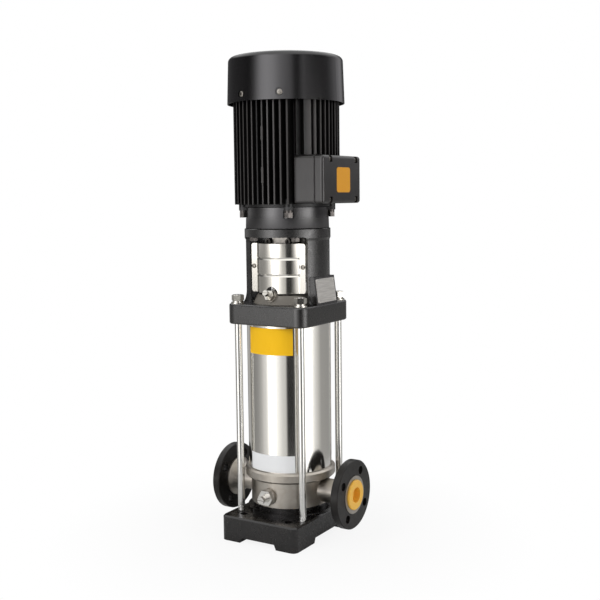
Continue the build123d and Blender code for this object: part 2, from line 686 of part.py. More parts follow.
def stool_columns():
    """Tube of the stool before its windows are cut: swept foot, wall and rim."""
    foot = EllipticalCenterArc((STOOL_R + STOOL_FOOT, HEAD_TOP + STOOL_FOOT_HEIGHT), STOOL_FOOT,
                               STOOL_FOOT_HEIGHT, start_angle=180, arc_size=90)
    lip = WINDOW_TOP - STOOL_RIM_LIP
    wall = Polyline((STOOL_R + STOOL_FOOT, HEAD_TOP), (STOOL_BORE_R, HEAD_TOP), (STOOL_BORE_R, STOOL_TOP),
                    (STOOL_RIM_R - SEAM_EDGE, STOOL_TOP), (STOOL_RIM_R, STOOL_TOP - SEAM_EDGE),
                    (STOOL_RIM_R, lip), (STOOL_R, lip - STOOL_RIM_SLOPE),
                    (STOOL_R, HEAD_TOP + STOOL_FOOT_HEIGHT))
    columns = revolve(Plane.XZ * make_face(foot + wall), Axis.Z)
    side = HEAD_SIZE - 2 * HEAD_EDGE
    corner = HEAD_CORNER_R - HEAD_EDGE
    return columns & Pos(0, 0, HEAD_TOP) * extrude(RectangleRounded(side, side, corner), STOOL_HEIGHT)


def motor_stool():
    """Pump head and motor stool in one casting: square plate, two columns and a top rim."""
    plate = extrude(RectangleRounded(HEAD_SIZE, HEAD_SIZE, HEAD_CORNER_R), HEAD_HEIGHT)
    plate = fillet(plate.edges().group_by(Axis.Z)[-1] + plate.edges().group_by(Axis.Z)[0], HEAD_EDGE)
    plate = Pos(0, 0, HEAD_BOTTOM) * plate
    top_flange = tube(STOOL_BORE_R, REGISTER_R + FIT, WINDOW_TOP, STOOL_TOP)
    lug_z = (GUARD_SCREW_HEIGHT - LUG_WIDTH_Z / 2, GUARD_SCREW_HEIGHT + LUG_WIDTH_Z / 2)
    lug_half = GUARD_FLANGE_Y - GUARD_SHEET
    lug_r = (STOOL_BORE_R + STOOL_R) / 2
    stool = stool_columns() - window() - Rot(0, 0, 180) * window()
    stool += nameplate_boss()
    for side in (-1, 1):
        low_x, high_x = sorted((side * LUG_INNER_X, side * lug_r))
        stool += box((low_x, high_x), (-lug_half, lug_half), lug_z) & rod(lug_r, *lug_z)
        for face in (-1, 1):
            hole = rod(GUARD_SCREW_R + SCREW_FIT, lug_half - GUARD_SCREW_LENGTH, GUARD_FLANGE_Y)
            stool -= Pos(side * GUARD_SCREW_X, 0, GUARD_SCREW_HEIGHT) * Rot(90 * face, 0, 0) * hole
    stool += top_flange + plate
    stool -= rod(SLEEVE_SEAT_R, HEAD_BOTTOM, HEAD_BOTTOM + SLEEVE_SEAT)
    stool -= rod(HEAD_BORE_R, HEAD_BOTTOM, HEAD_TOP)
    stool -= rod(COVER_SEAT_R, HEAD_TOP - COVER_SEAT_DEPTH, HEAD_TOP)
    for x, y in ((i, j) for i in (-1, 1) for j in (-1, 1)):
        hole = rod(ROD_R + HEAD_HOLE_CLEARANCE, HEAD_BOTTOM, HEAD_TOP)
        stool -= Pos(x * ROD_SPACING, y * ROD_SPACING, 0) * hole
    for quarter in range(4):
        x, y = polar_xy(MOTOR_BOLT_CIRCLE_R, MOTOR_BOLT_ANGLE + 90 * quarter)
        stool -= Pos(x, y, 0) * rod(MOTOR_BOLT_R + STOOL_HOLE_CLEARANCE, WINDOW_TOP, STOOL_TOP)
    return stool


# Rating plate, bare
def on_plate_boss():
    """Location on the plate's outer face: local Z points out, local X along +Y."""
    out = Vector(cos(radians(PLATE_TILT)), 0, sin(radians(PLATE_TILT)))
    up = Vector(-sin(radians(PLATE_TILT)), 0, cos(radians(PLATE_TILT)))
    foot = Vector(PLATE_BOSS_FOOT_X, 0, HEAD_TOP)
    middle = foot + up * (PLATE_FOOT + PLATE_HEIGHT / 2) + out * PLATE_THICKNESS
    return Location(Plane(origin=middle, x_dir=(0, 1, 0), z_dir=out))


def nameplate():
    """Thin bare plate with rounded corners."""
    outline = RectangleRounded(PLATE_WIDTH, PLATE_HEIGHT, PLATE_CORNER_R)
    return on_plate_boss() * extrude(outline, -PLATE_THICKNESS)


# Head cover, seal and vent
COVER_EDGE = HEAD_TOP - COVER_LIP
CONE_ANGLE = degrees(atan2(COVER_R - COVER_TOP_R, COVER_TOP - COVER_EDGE))
VENT_HEIGHT = (COVER_EDGE + COVER_TOP) / 2 + VENT_RISE
VENT_R = COVER_R - (VENT_HEIGHT - COVER_EDGE) * tan(radians(CONE_ANGLE))
SEAT_BOTTOM = COVER_TOP - SEAT_HEIGHT
SEAL_TOP = SEAT_BOTTOM - SEAL_GAP


def at_vent(shape):
    """Shape built upwards, laid on the cone at the vent with its face at height 0."""
    return Pos(0, -VENT_R, VENT_HEIGHT) * Rot(90 - VENT_TILT, 0, 0) * shape


def head_cover():
    """Grey coned cover that holds the seal seat and closes the head."""
    wall = COVER_WALL / cos(radians(CONE_ANGLE))
    under = HEAD_TOP - COVER_SEAT_DEPTH
    top_inside = COVER_TOP - COVER_WALL
    inner_edge = COVER_R - wall
    inner_top = COVER_TOP_R - wall + COVER_WALL * tan(radians(CONE_ANGLE))
    cover = turned((SEAT_R + FIT, COVER_TOP), (COVER_TOP_R, COVER_TOP), (COVER_R, COVER_EDGE),
                   (COVER_R, under), (inner_edge, under), (inner_edge, COVER_EDGE), (inner_top, top_inside),
                   (SEAT_R + COVER_WALL, top_inside), (SEAT_R + COVER_WALL, SEAT_BOTTOM),
                   (SEAT_R + FIT, SEAT_BOTTOM))
    cover += at_vent(rod(VENT_FACE_R, -COVER_WALL, 0)) & rod(COVER_R, HEAD_TOP, COVER_TOP + VENT_FACE_R)
    cover -= at_vent(rod(VENT_SPOT_R, 0, VENT_FACE_R))
    return cover - at_vent(rod(VENT_THREAD_R + SCREW_FIT, -3 * COVER_WALL, 0))


VENT_HEX_TOP = WASHER_THICKNESS + VENT_HEX_THICKNESS
VENT_TOP = VENT_HEX_TOP + VENT_COLLAR


def vent_plug():
    """Hexagon air vent body screwed into the cone."""
    body = hexagon(VENT_HEX, WASHER_THICKNESS, VENT_HEX_TOP) + rod(VENT_COLLAR_R, VENT_HEX_TOP, VENT_TOP)
    body += rod(VENT_THREAD_R, -COVER_WALL - MARGIN, WASHER_THICKNESS)
    return at_vent(body - rod(VENT_SCREW_R + RUNNING_FIT, VENT_TOP - VENT_SCREW_DEPTH, VENT_TOP))


def vent_washer():
    """Sealing washer under the vent plug."""
    return at_vent(tube(VENT_WASHER_R, VENT_THREAD_R + SCREW_FIT, 0, WASHER_THICKNESS))


def vent_screw():
    """Bleed screw, opened by a turn or two to let air out."""
    gap = RUNNING_GAP / 2
    top = VENT_TOP + gap + VENT_SCREW_HEAD
    head = rod(VENT_SCREW_HEAD_R, VENT_TOP + gap, top)
    slot = VENT_SCREW_SLOT / 2
    head -= box((-VENT_SCREW_HEAD_R, VENT_SCREW_HEAD_R), (-slot, slot), (top - VENT_SCREW_SLOT, top))
    return at_vent(head + rod(VENT_SCREW_R, VENT_TOP - VENT_SCREW_DEPTH + gap, VENT_TOP + gap))


def seal_seat():
    """Stationary carbide ring in the cover."""
    return tube(SEAT_R, PUMP_SHAFT_R + RUNNING_GAP, SEAT_BOTTOM, COVER_TOP)


def seal_head():
    """Rotating half of the cartridge seal on the shaft."""
    low = SEAL_TOP - SEAL_LENGTH
    step = SEAL_TOP - SEAL_LENGTH / 4
    return turned((PUMP_SHAFT_R + FIT, low), (SEAL_R, low), (SEAL_R, step), (SEAT_R, step),
                  (SEAT_R, SEAL_TOP), (PUMP_SHAFT_R + FIT, SEAL_TOP))


# Coupling and guards
def coupling_half(face):
    """One half of the clamp coupling, front (face -1) or rear (face 1)."""
    body = rod(COUPLING_R, COUPLING_BOTTOM, COUPLING_TOP)
    body -= rod(PUMP_SHAFT_R + FIT, COUPLING_BOTTOM, PUMP_SHAFT_TOP)
    body -= rod(MOTOR_SHAFT_R + FIT, PUMP_SHAFT_TOP, COUPLING_TOP)
    y = sorted((face * COUPLING_SPLIT / 2, face * COUPLING_FLAT))
    body &= box((-COUPLING_R, COUPLING_R), y, (COUPLING_BOTTOM, COUPLING_TOP))
    for x, z in coupling_bolt_places():
        body -= Pos(x, 0, z) * Rot(90, 0, 0) * Cylinder(COUPLING_BOLT_R + SCREW_FIT, 2 * COUPLING_FLAT)
    height = COUPLING_BOTTOM + COUPLING_BOLT_FROM_END
    return body - Pos(0, 0, height) * Rot(90, 0, 0) * Cylinder(PIN_R + SCREW_FIT, PIN_LENGTH)


def coupling_bolt_places():
    """Cross bolts: one pair on each shaft."""
    heights = (COUPLING_BOTTOM + COUPLING_BOLT_FROM_END, COUPLING_TOP - COUPLING_BOLT_FROM_END)
    return [(x * COUPLING_BOLT_X, z) for x in (-1, 1) for z in heights]


def coupling_bolts():
    """Socket screws that pull the halves together, heads at the front."""
    screw = rod(COUPLING_BOLT_HEAD_R, COUPLING_FLAT, COUPLING_FLAT + COUPLING_BOLT_HEAD)
    screw -= hexagon(COUPLING_BOLT_HEAD_R, COUPLING_FLAT + COUPLING_BOLT_HEAD / 2,
                     COUPLING_FLAT + COUPLING_BOLT_HEAD)
    screw += rod(COUPLING_BOLT_R, MARGIN - COUPLING_FLAT, COUPLING_FLAT)
    return group([Pos(x, 0, z) * forward(screw) for x, z in coupling_bolt_places()])


def coupling_pin():
    """Cross pin through the pump shaft."""
    height = COUPLING_BOTTOM + COUPLING_BOLT_FROM_END
    return Pos(0, 0, height) * Rot(90, 0, 0) * Cylinder(PIN_R, PIN_LENGTH)


def coupling_guard(face):
    """Pressed sheet guard: half cylinder, two beads, side flanges, front (-1) or rear (1)."""
    inner_r = GUARD_R - GUARD_SHEET
    shell = tube(GUARD_R, inner_r, GUARD_BOTTOM, GUARD_TOP)
    half = GUARD_BEAD_HEIGHT / 2
    for height in GUARD_BEADS:
        middle = GUARD_BOTTOM + height
        shell += turned((inner_r - GUARD_BEAD, middle), (inner_r, middle - half), (GUARD_R, middle),
                        (inner_r, middle + half))
        shell -= turned((GUARD_R - GUARD_BEAD, middle), (GUARD_R, middle - half),
                        (GUARD_R + MARGIN, middle), (GUARD_R, middle + half))
    z = (GUARD_BOTTOM, GUARD_TOP)
    inner_y = GUARD_FLANGE_Y - GUARD_SHEET
    shell &= box((-2 * GUARD_R, 2 * GUARD_R), (-2 * GUARD_R, -inner_y), z)
    inner_x = sqrt(GUARD_R ** 2 - GUARD_FLANGE_Y ** 2) - GUARD_SHEET
    for side in (-1, 1):
        flange = box(sorted((side * inner_x, side * GUARD_FLANGE_X)), (-GUARD_FLANGE_Y, -inner_y), z)
        ends = flange.edges().filter_by(Axis.Y).sort_by(lambda edge: side * edge.center().X)[-2:]
        shell += fillet(ends, GUARD_CORNER_R)
        hole = Pos(side * GUARD_SCREW_X, -GUARD_FLANGE_Y, GUARD_SCREW_HEIGHT) * Rot(90, 0, 0)
        shell -= hole * Cylinder(GUARD_SCREW_R + SCREW_FIT, 4 * GUARD_SHEET)
    shell -= Pos(0, -GUARD_R, GUARD_BOTTOM) * Rot(90, 0, 0) * Cylinder(GUARD_NOTCH_R, GUARD_R)
    return shell if face < 0 else Rot(0, 0, 180) * shell


def guard_screws():
    """Screws through the guard flanges into the stool's lugs."""
    screw = headed_screw(GUARD_SCREW_R, GUARD_SCREW_HEAD_R, GUARD_SCREW_HEAD, GUARD_SCREW_LENGTH)
    front = [Pos(side * GUARD_SCREW_X, -GUARD_FLANGE_Y, GUARD_SCREW_HEIGHT) * forward(screw)
             for side in (-1, 1)]
    return group(front + [Rot(0, 0, 180) * shape for shape in front])


# Hydraulic stack: chambers, impellers, spacers, shaft
def stage_bottom(stage):
    """Height of a stage's chamber floor."""
    return STACK_BOTTOM + stage * STAGE_PITCH


def stage_chamber(stage):
    """Cup with a floor, a ring spigot to the cup above and return vanes under its lid."""
    low = stage_bottom(stage)
    high = low + STAGE_PITCH
    inner = CHAMBER_R - CHAMBER_WALL
    neck_r = EYE_R + RUNNING_GAP
    cup = turned((neck_r, low), (CHAMBER_R, low), (CHAMBER_R, high), (inner, high),
                 (inner, low + CHAMBER_WALL), (neck_r, low + CHAMBER_WALL))
    vane_top = high - SEAL_GAP
    vane_y = (-inner - CHAMBER_WALL / 2, -HUB_R - 3 * RUNNING_GAP)
    vane = box((-VANE_THICKNESS / 2, VANE_THICKNESS / 2), vane_y, (vane_top - GUIDE_VANE_HEIGHT, vane_top))
    for index in range(GUIDE_VANES):
        cup += from_front(index * 360 / GUIDE_VANES, vane)
    return cup


def impeller(stage):
    """Closed impeller: eye neck, two shrouds and backward curved vanes on a hub."""
    low = stage_bottom(stage) + CHAMBER_WALL + GAP_UNDER_IMPELLER
    front_top = low + SHROUD
    back_low = front_top + VANE_HEIGHT
    back_top = back_low + SHROUD
    bore = PUMP_SHAFT_R + FIT
    inner_eye = EYE_R - EYE_WALL
    neck_low = stage_bottom(stage) + RUNNING_GAP
    wheel = turned((inner_eye, neck_low), (EYE_R, neck_low), (EYE_R, low), (IMPELLER_R, low),
                   (IMPELLER_R, front_top), (inner_eye, front_top))
    wheel += turned((bore, back_low - HUB_BELOW), (HUB_R, back_low - HUB_BELOW), (HUB_R, back_low),
                    (IMPELLER_R, back_low), (IMPELLER_R, back_top), (bore, back_top))
    # each vane is a slice of a ring whose centre lies off the shaft, so that it sweeps backwards
    sweep_r = IMPELLER_R * VANE_SWEEP
    offset = IMPELLER_R - sweep_r * VANE_CENTRE
    vane = Pos(offset, 0, front_top) * (Cylinder(sweep_r, VANE_HEIGHT, align=LOW)
                                        - Cylinder(sweep_r - VANE_THICKNESS, VANE_HEIGHT, align=LOW))
    vane &= box((-IMPELLER_R, IMPELLER_R), (-IMPELLER_R, 0), (front_top, back_low))
    vane &= tube(IMPELLER_R, inner_eye + MARGIN, front_top, back_low)
    for index in range(IMPELLER_VANES):
        wheel += Rot(0, 0, index * 360 / IMPELLER_VANES) * vane
    return wheel


def hub_heights(stage):
    """Lower and upper end of a stage's impeller hub."""
    back_low = stage_bottom(stage) + CHAMBER_WALL + GAP_UNDER_IMPELLER + SHROUD + VANE_HEIGHT
    return back_low - HUB_BELOW, back_low + SHROUD


def impeller_spacers():
    """Sleeves on the shaft between the hubs, and one up to the seal."""
    hubs = [hub_heights(stage) for stage in range(STAGES)]
    ends = [low for low, high in hubs[1:]] + [SEAL_TOP - SEAL_LENGTH]
    spans = zip([high for low, high in hubs], ends)
    return group([tube(HUB_R, PUMP_SHAFT_R + FIT, low, high) for low, high in spans])


def suction_spider():
    """Ring with arms under the first stage that holds the lower bush."""
    low, high = STACK_BOTTOM - SPIDER_HEIGHT, STACK_BOTTOM
    outer = CUP_R - CUP_WALL - SLEEVE_CLEARANCE
    hub_r = PUMP_SHAFT_R + RUNNING_FIT + BUSH_WALL
    spider = tube(outer, outer - CUP_WALL, low, high)
    arm_top = high - RUNNING_GAP
    arm = box((-SPIDER_ARM / 2, SPIDER_ARM / 2), (-outer + CUP_WALL / 2, -hub_r), (low, arm_top))
    for index in range(SPIDER_ARMS):
        spider += from_front(index * 360 / SPIDER_ARMS + 45, arm)
    return spider + tube(hub_r + BUSH_WALL, hub_r + FIT, low, arm_top)


def lower_bush():
    """Carbide bush that carries the shaft's lower end."""
    bore = PUMP_SHAFT_R + RUNNING_FIT
    return tube(bore + BUSH_WALL, bore, STACK_BOTTOM - SPIDER_HEIGHT, STACK_BOTTOM - RUNNING_GAP)


def stack_top_ring():
    """Discharge ring on the last chamber, pressed down by the head."""
    outer = CHAMBER_R
    low = CHAMBER_STACK_TOP
    return turned((EYE_R, low), (outer, low), (outer, low + TOP_RING_HEIGHT),
                  (outer - CHAMBER_WALL, low + TOP_RING_HEIGHT), (outer - CHAMBER_WALL, low + CHAMBER_WALL),
                  (EYE_R, low + CHAMBER_WALL))


def stack_straps():
    """Flat straps that hold the chambers together down to the casing's cup."""
    low, high = STACK_BOTTOM, CHAMBER_STACK_TOP + TOP_RING_HEIGHT
    strap = tube(CHAMBER_R + FIT + STRAP_THICKNESS, CHAMBER_R + FIT, low, high)
    strap &= box((-STRAP_WIDTH / 2, STRAP_WIDTH / 2), (-2 * CHAMBER_R, 0), (low, high))
    return group([from_front(angle, strap) for angle in STRAP_ANGLES])


def pump_shaft():
    """Splined pump shaft, drawn round, from the lower bush to the coupling."""
    shaft = rod(PUMP_SHAFT_R, STACK_BOTTOM - SPIDER_HEIGHT, PUMP_SHAFT_TOP)
    shaft = chamfer(shaft.edges().group_by(Axis.Z)[0], MARGIN)
    height = COUPLING_BOTTOM + COUPLING_BOLT_FROM_END
    return shaft - Pos(0, 0, height) * Rot(90, 0, 0) * Cylinder(PIN_R + SCREW_FIT, 4 * PUMP_SHAFT_R)


# Motor
LOWER_BEARING = STOOL_TOP + BELL_FACE + BEARING_HOUSING_WALL
UPPER_BEARING = FRAME_TOP + SHIELD_HEIGHT - BEARING_WIDTH
STATOR_BOTTOM = BELL_TOP + STATOR_START
STATOR_TOP = STATOR_BOTTOM + STATOR_LENGTH
HOUSING_R = BEARING_R + BEARING_HOUSING_WALL


def bell_bolt_places():
    """Places of the bolts that hold the bell to the frame."""
    step = 360 / BELL_BOLTS
    return [polar_xy(BELL_BOLT_CIRCLE_R, BELL_BOLT_ANGLE + index * step) for index in range(BELL_BOLTS)]


def motor_bolts():
    """Bolts up through the stool's top flange into the motor face."""
    length = STOOL_RIM + BELL_FACE - MARGIN
    screw = bolt(MOTOR_BOLT_R, BOLT_HEX, BOLT_HEAD, length, BOLT_WASHER_R, WASHER_THICKNESS)
    places = [polar_xy(MOTOR_BOLT_CIRCLE_R, MOTOR_BOLT_ANGLE + 90 * quarter) for quarter in range(4)]
    return group([Pos(x, y, WINDOW_TOP) * screw for x, y in places])


def drive_end_shield():
    """Bell between the stool and the finned frame: register, bearing housing, bolt lugs."""
    shaft_hole = MOTOR_SHAFT_R + SHAFT_HOLE_GAP
    inner = BELL_TOP_R - BELL_WALL
    floor = STOOL_TOP + BELL_FACE
    bell = turned((shaft_hole, STOOL_TOP - REGISTER_DEPTH), (REGISTER_R, STOOL_TOP - REGISTER_DEPTH),
                  (REGISTER_R, STOOL_TOP), (MOTOR_FACE_R - SEAM_EDGE, STOOL_TOP),
                  (MOTOR_FACE_R, STOOL_TOP + SEAM_EDGE), (BELL_TOP_R, BELL_TOP - SEAM_EDGE),
                  (BELL_TOP_R - SEAM_EDGE, BELL_TOP),
                  (SPIGOT_R, BELL_TOP), (SPIGOT_R, BELL_TOP + SPIGOT), (inner, BELL_TOP + SPIGOT),
                  (inner, floor), (HOUSING_R, floor), (HOUSING_R, LOWER_BEARING + BEARING_WIDTH),
                  (BEARING_R + FIT, LOWER_BEARING + BEARING_WIDTH), (BEARING_R + FIT, LOWER_BEARING),
                  (shaft_hole, LOWER_BEARING))
    lug_z = (BELL_TOP - BELL_LUG_HEIGHT, BELL_TOP)
    for x, y in bell_bolt_places():
        angle = degrees(atan2(x, -y))
        arm = box((-BELL_LUG_R, BELL_LUG_R), (-BELL_BOLT_CIRCLE_R, -BELL_TOP_R + BELL_WALL / 2), lug_z)
        bell += Pos(x, y, 0) * rod(BELL_LUG_R, *lug_z) + from_front(angle, arm)
    # the heads need room beside the bell's wall
    head_z = (lug_z[0] - BELL_WASHER - BELL_BOLT_HEAD - MARGIN, lug_z[0])
    for x, y in bell_bolt_places():
        bell -= Pos(x, y, 0) * rod(BELL_POCKET_R, *head_z)
        bell -= Pos(x, y, 0) * rod(MOTOR_BOLT_R + SCREW_FIT, BELL_TOP - BELL_LUG_HEIGHT, BELL_TOP + SPIGOT)
    for quarter in range(4):
        x, y = polar_xy(MOTOR_BOLT_CIRCLE_R, MOTOR_BOLT_ANGLE + 90 * quarter)
        bell -= Pos(x, y, 0) * rod(MOTOR_BOLT_R + SCREW_FIT, STOOL_TOP, floor)
    return bell


def bell_bolts():
    """Hexagon bolts with washers up through the lugs into the frame."""
    length = BELL_LUG_HEIGHT + BOLT_GRIP
    screw = bolt(MOTOR_BOLT_R, BOLT_HEX, BELL_BOLT_HEAD, length, BOLT_HEX / 2, BELL_WASHER)
    return group([Pos(x, y, BELL_TOP - BELL_LUG_HEIGHT) * screw for x, y in bell_bolt_places()])


def four_corners(angle):
    """An angle from the front, mirrored to the left and to the rear."""
    return angle, 180 - angle, 180 + angle, 360 - angle


def motor_frame():
    """Ribbed frame: barrel, parallel fins in four groups, corner ribs and flat pads."""
    fins_z = (BELL_TOP + FIN_START, FRAME_TOP)
    half = FIN_THICKNESS / 2
    fins = []
    for turn, count in ((0, FRONT_FINS), (90, SIDE_FINS), (180, FRONT_FINS), (270, SIDE_FINS)):
        for index in range(count):
            x = (index - (count - 1) / 2) * FIN_PITCH
            root = sqrt(BARREL_R ** 2 - x ** 2) - half
            fins.append(from_front(turn, box((x - half, x + half), (-FIN_TIP_R, -root), fins_z)))
    rib = box((-half, half), (-FIN_TIP_R, -BARREL_R + half), fins_z)
    fins += [from_front(angle, rib) for angle in four_corners(CORNER_RIB_ANGLE)]
    pad = box((-PAD_WIDTH / 2, PAD_WIDTH / 2), (-PAD_FACE, -BARREL_R + half), fins_z)
    fins += [from_front(angle, pad) for angle in four_corners(PAD_ANGLE)]
    frame = rod(BARREL_R, *fins_z) + rod(FRAME_RIM_R, BELL_TOP, FRAME_TOP)
    for fin in fins:
        frame += fin
    frame &= rod(FIN_TIP_R + FIN_BOSS_PROUD, BELL_TOP, FRAME_TOP)
    boss_x = (FIN_PITCH - FIN_BOSS_WIDTH / 2, FIN_PITCH + FIN_BOSS_WIDTH / 2)
    boss_y = (-FIN_TIP_R - FIN_BOSS_PROUD, -FIN_TIP_R + FIN_BOSS_DEPTH)
    for low, high in FIN_BOSSES:
        frame += box(boss_x, boss_y, (BELL_TOP + low, BELL_TOP + high))
    room = box((BOX_BACK_X - BOX_FIN_GAP, 2 * FIN_TIP_R), (-FIN_TIP_R, FIN_TIP_R),
               (BELL_TOP, BOX_BOTTOM + BOX_HEIGHT + BOX_FIN_GAP))
    frame -= room - rod(BARREL_R, BELL_TOP, FRAME_TOP)
    for x, y in bell_bolt_places():
        frame += Pos(x, y, 0) * rod(BELL_LUG_R, BELL_TOP, BELL_TOP + LUG_ON_FRAME)
        frame -= Pos(x, y, 0) * rod(MOTOR_BOLT_R + SCREW_FIT, BELL_TOP, BELL_TOP + BOLT_GRIP)
    frame -= rod(SPIGOT_R + FIT, BELL_TOP, FRAME_TOP)
    wire_hole = outward(1, rod(WIRE_HOLE_R, SPIGOT_R - CASING_WALL, BARREL_R))
    return frame - Pos(0, 0, BOX_MIDDLE) * wire_hole


def stator_core():
    """Laminated ring pressed into the frame."""
    return tube(SPIGOT_R, STATOR_BORE_R, STATOR_BOTTOM, STATOR_TOP)


def stator_windings():
    """Copper end turns above and below the laminations."""
    inner, outer = WINDING_R
    edge = WINDING_HEIGHT / 3
    above = turned((inner, STATOR_TOP), (outer, STATOR_TOP), (outer, STATOR_TOP + WINDING_HEIGHT - edge),
                   (outer - edge, STATOR_TOP + WINDING_HEIGHT), (inner + edge, STATOR_TOP + WINDING_HEIGHT),
                   (inner, STATOR_TOP + WINDING_HEIGHT - edge))
    return group([above, mirror(above, Plane.XY.offset((STATOR_BOTTOM + STATOR_TOP) / 2))])


def rotor_core():
    """Squirrel-cage rotor with its end rings."""
    core = tube(STATOR_BORE_R - AIR_GAP, ROTOR_SHAFT_R + FIT, STATOR_BOTTOM, STATOR_TOP)
    inner, outer = CAGE_RING_R
    for low in (STATOR_BOTTOM - CAGE_RING_HEIGHT, STATOR_TOP):
        core += tube(outer, inner, low, low + CAGE_RING_HEIGHT)
    return core


FAN_BOTTOM = SHIELD_TOP + FAN_ABOVE_SHIELD
FAN_TOP = FAN_BOTTOM + FAN_HEIGHT


def motor_shaft():
    """Stepped shaft: coupling end, bearing seats, rotor seat and fan seat."""
    core_low = STATOR_BOTTOM - CAGE_RING_HEIGHT
    core_high = STATOR_TOP + CAGE_RING_HEIGHT
    return turned((0, MOTOR_SHAFT_BOTTOM), (MOTOR_SHAFT_R, MOTOR_SHAFT_BOTTOM),
                  (MOTOR_SHAFT_R, LOWER_BEARING - MARGIN), (BEARING_BORE_R, LOWER_BEARING - MARGIN),
                  (BEARING_BORE_R, LOWER_BEARING + BEARING_WIDTH),
                  (ROTOR_SHAFT_R, LOWER_BEARING + BEARING_WIDTH), (ROTOR_SHAFT_R, core_high),
                  (BEARING_BORE_R, core_high),
                  (BEARING_BORE_R, SHIELD_TOP), (FAN_SHAFT_R, SHIELD_TOP), (FAN_SHAFT_R, FAN_TOP),
                  (0, FAN_TOP))


def at_bearings(shape):
    """The same piece at the lower and the upper bearing."""
    return group([Pos(0, 0, low) * shape for low in (LOWER_BEARING, UPPER_BEARING)])


def bearing_outer_rings():
    """Outer rings of the two ball bearings."""
    return at_bearings(tube(BEARING_R, BEARING_R - BEARING_RACE, 0, BEARING_WIDTH))


def bearing_inner_rings():
    """Inner rings, each with its shield out to the outer ring."""
    race_r = BEARING_BORE_R + BEARING_RACE
    shield_r = BEARING_R - BEARING_RACE - RUNNING_GAP / 2
    third = BEARING_WIDTH / 3
    return at_bearings(turned((BEARING_BORE_R + FIT, 0), (race_r, 0), (race_r, third), (shield_r, third),
                              (shield_r, 2 * third), (race_r, 2 * third), (race_r, BEARING_WIDTH),
                              (BEARING_BORE_R + FIT, BEARING_WIDTH)))


def fan_end_shield():
    """Upper end shield with the bearing housing and the lugs that carry the cowl."""
    plate_low = SHIELD_TOP - BEARING_WIDTH
    hole = BEARING_BORE_R + SHAFT_HOLE_GAP
    inner = SPIGOT_R - BELL_WALL
    shield = turned((inner, FRAME_TOP - SPIGOT), (SPIGOT_R, FRAME_TOP - SPIGOT), (SPIGOT_R, FRAME_TOP),
                    (SHIELD_R, FRAME_TOP), (SHIELD_R, FRAME_TOP + SHIELD_PLATE),
                    (HOUSING_R, FRAME_TOP + SHIELD_PLATE), (HOUSING_R, SHIELD_TOP),
                    (BEARING_R + FIT, SHIELD_TOP), (BEARING_R + FIT, plate_low),
                    (hole, plate_low), (hole, FRAME_TOP), (inner, FRAME_TOP))
    lug_half = COWL_LUG_WIDTH / 2
    lug = box((-lug_half, lug_half), (-COWL_R, -SPIGOT_R), (FRAME_TOP, FRAME_TOP + COWL_LUG_HEIGHT))
    lug &= rod(COWL_SEAT_R - COWL_WALL - COWL_LUG_GAP, FRAME_TOP, SHIELD_TOP)
    for angle in COWL_SCREW_ANGLES:
        shield += from_front(angle, lug)
        hole = rod(COWL_SCREW_R + SCREW_FIT, COWL_R - COWL_SCREW_LENGTH - 2 * COWL_WALL, COWL_R)
        shield -= from_front(angle, Pos(0, 0, COWL_BOTTOM + COWL_SCREW_HEIGHT) * forward(hole))
    return shield


def fan():
    """Radial plastic fan: hub, back plate and flat blades that work in either direction."""
    wheel = turned((FAN_SHAFT_R + FIT, FAN_BOTTOM), (FAN_R, FAN_BOTTOM), (FAN_R, FAN_BOTTOM + FAN_PLATE),
                   (FAN_HUB_R, FAN_BOTTOM + FAN_PLATE), (FAN_HUB_R, FAN_TOP), (FAN_SHAFT_R + FIT, FAN_TOP))
    root = FAN_HUB_R - MARGIN
    crown_start, crown_end = FAN_CROWN
    outline = Polygon((root, FAN_BOTTOM), (FAN_R, FAN_BOTTOM), (FAN_R, FAN_TOP - FAN_TIP_DROP),
                      (FAN_R * crown_end, FAN_TOP), (FAN_R * crown_start, FAN_TOP),
                      (root, FAN_TOP - FAN_HUB_DROP), align=None)
    blade = extrude(Plane.XZ * outline, FAN_BLADE / 2, both=True)
    for index in range(FAN_BLADES):
        wheel += Rot(0, 0, index * 360 / FAN_BLADES) * blade
    return wheel


def fan_cowl():
    """Spun cowl over the fan, slightly tapered, with ring slots in its top."""
    inner = COWL_R - COWL_WALL
    inner_top = COWL_TOP_R - COWL_WALL
    outer = turned((0, COWL_BOTTOM), (COWL_R, COWL_BOTTOM), (COWL_TOP_R, COWL_TOP), (0, COWL_TOP))
    outer = fillet(outer.edges().group_by(Axis.Z)[-1], COWL_EDGE_R)
    under = COWL_TOP - COWL_WALL
    slope = COWL_EDGE_R - COWL_WALL
    cowl = outer - turned((0, COWL_BOTTOM), (inner, COWL_BOTTOM), (inner_top, under - slope),
                          (inner_top - slope, under), (0, under))
    bar = Pos(0, 0, COWL_TOP) * Box(GRILLE_RIB, 2 * COWL_R, COWL_HEIGHT)
    ribs = [from_front(GRILLE_TURN + index * 180 / GRILLE_BARS, bar) for index in range(GRILLE_BARS)]
    for radius in GRILLE_RINGS:
        slot = tube(radius + GRILLE_SLOT / 2, radius - GRILLE_SLOT / 2, COWL_TOP - 2 * COWL_WALL, COWL_TOP)
        for rib in ribs:
            slot -= rib
        cowl -= slot
    height = COWL_BOTTOM + COWL_SCREW_HEIGHT
    back = COWL_SEAT_R - COWL_WALL
    for angle in COWL_SCREW_ANGLES:
        cowl += from_front(angle, Pos(0, 0, height) * forward(rod(COWL_DIMPLE_R + COWL_WALL, back, inner)))
        recess = rod(COWL_DIMPLE_R, COWL_SEAT_R, COWL_R) + rod(COWL_SCREW_R + SCREW_FIT, back, COWL_R)
        cowl -= from_front(angle, Pos(0, 0, height) * forward(recess))
    return cowl


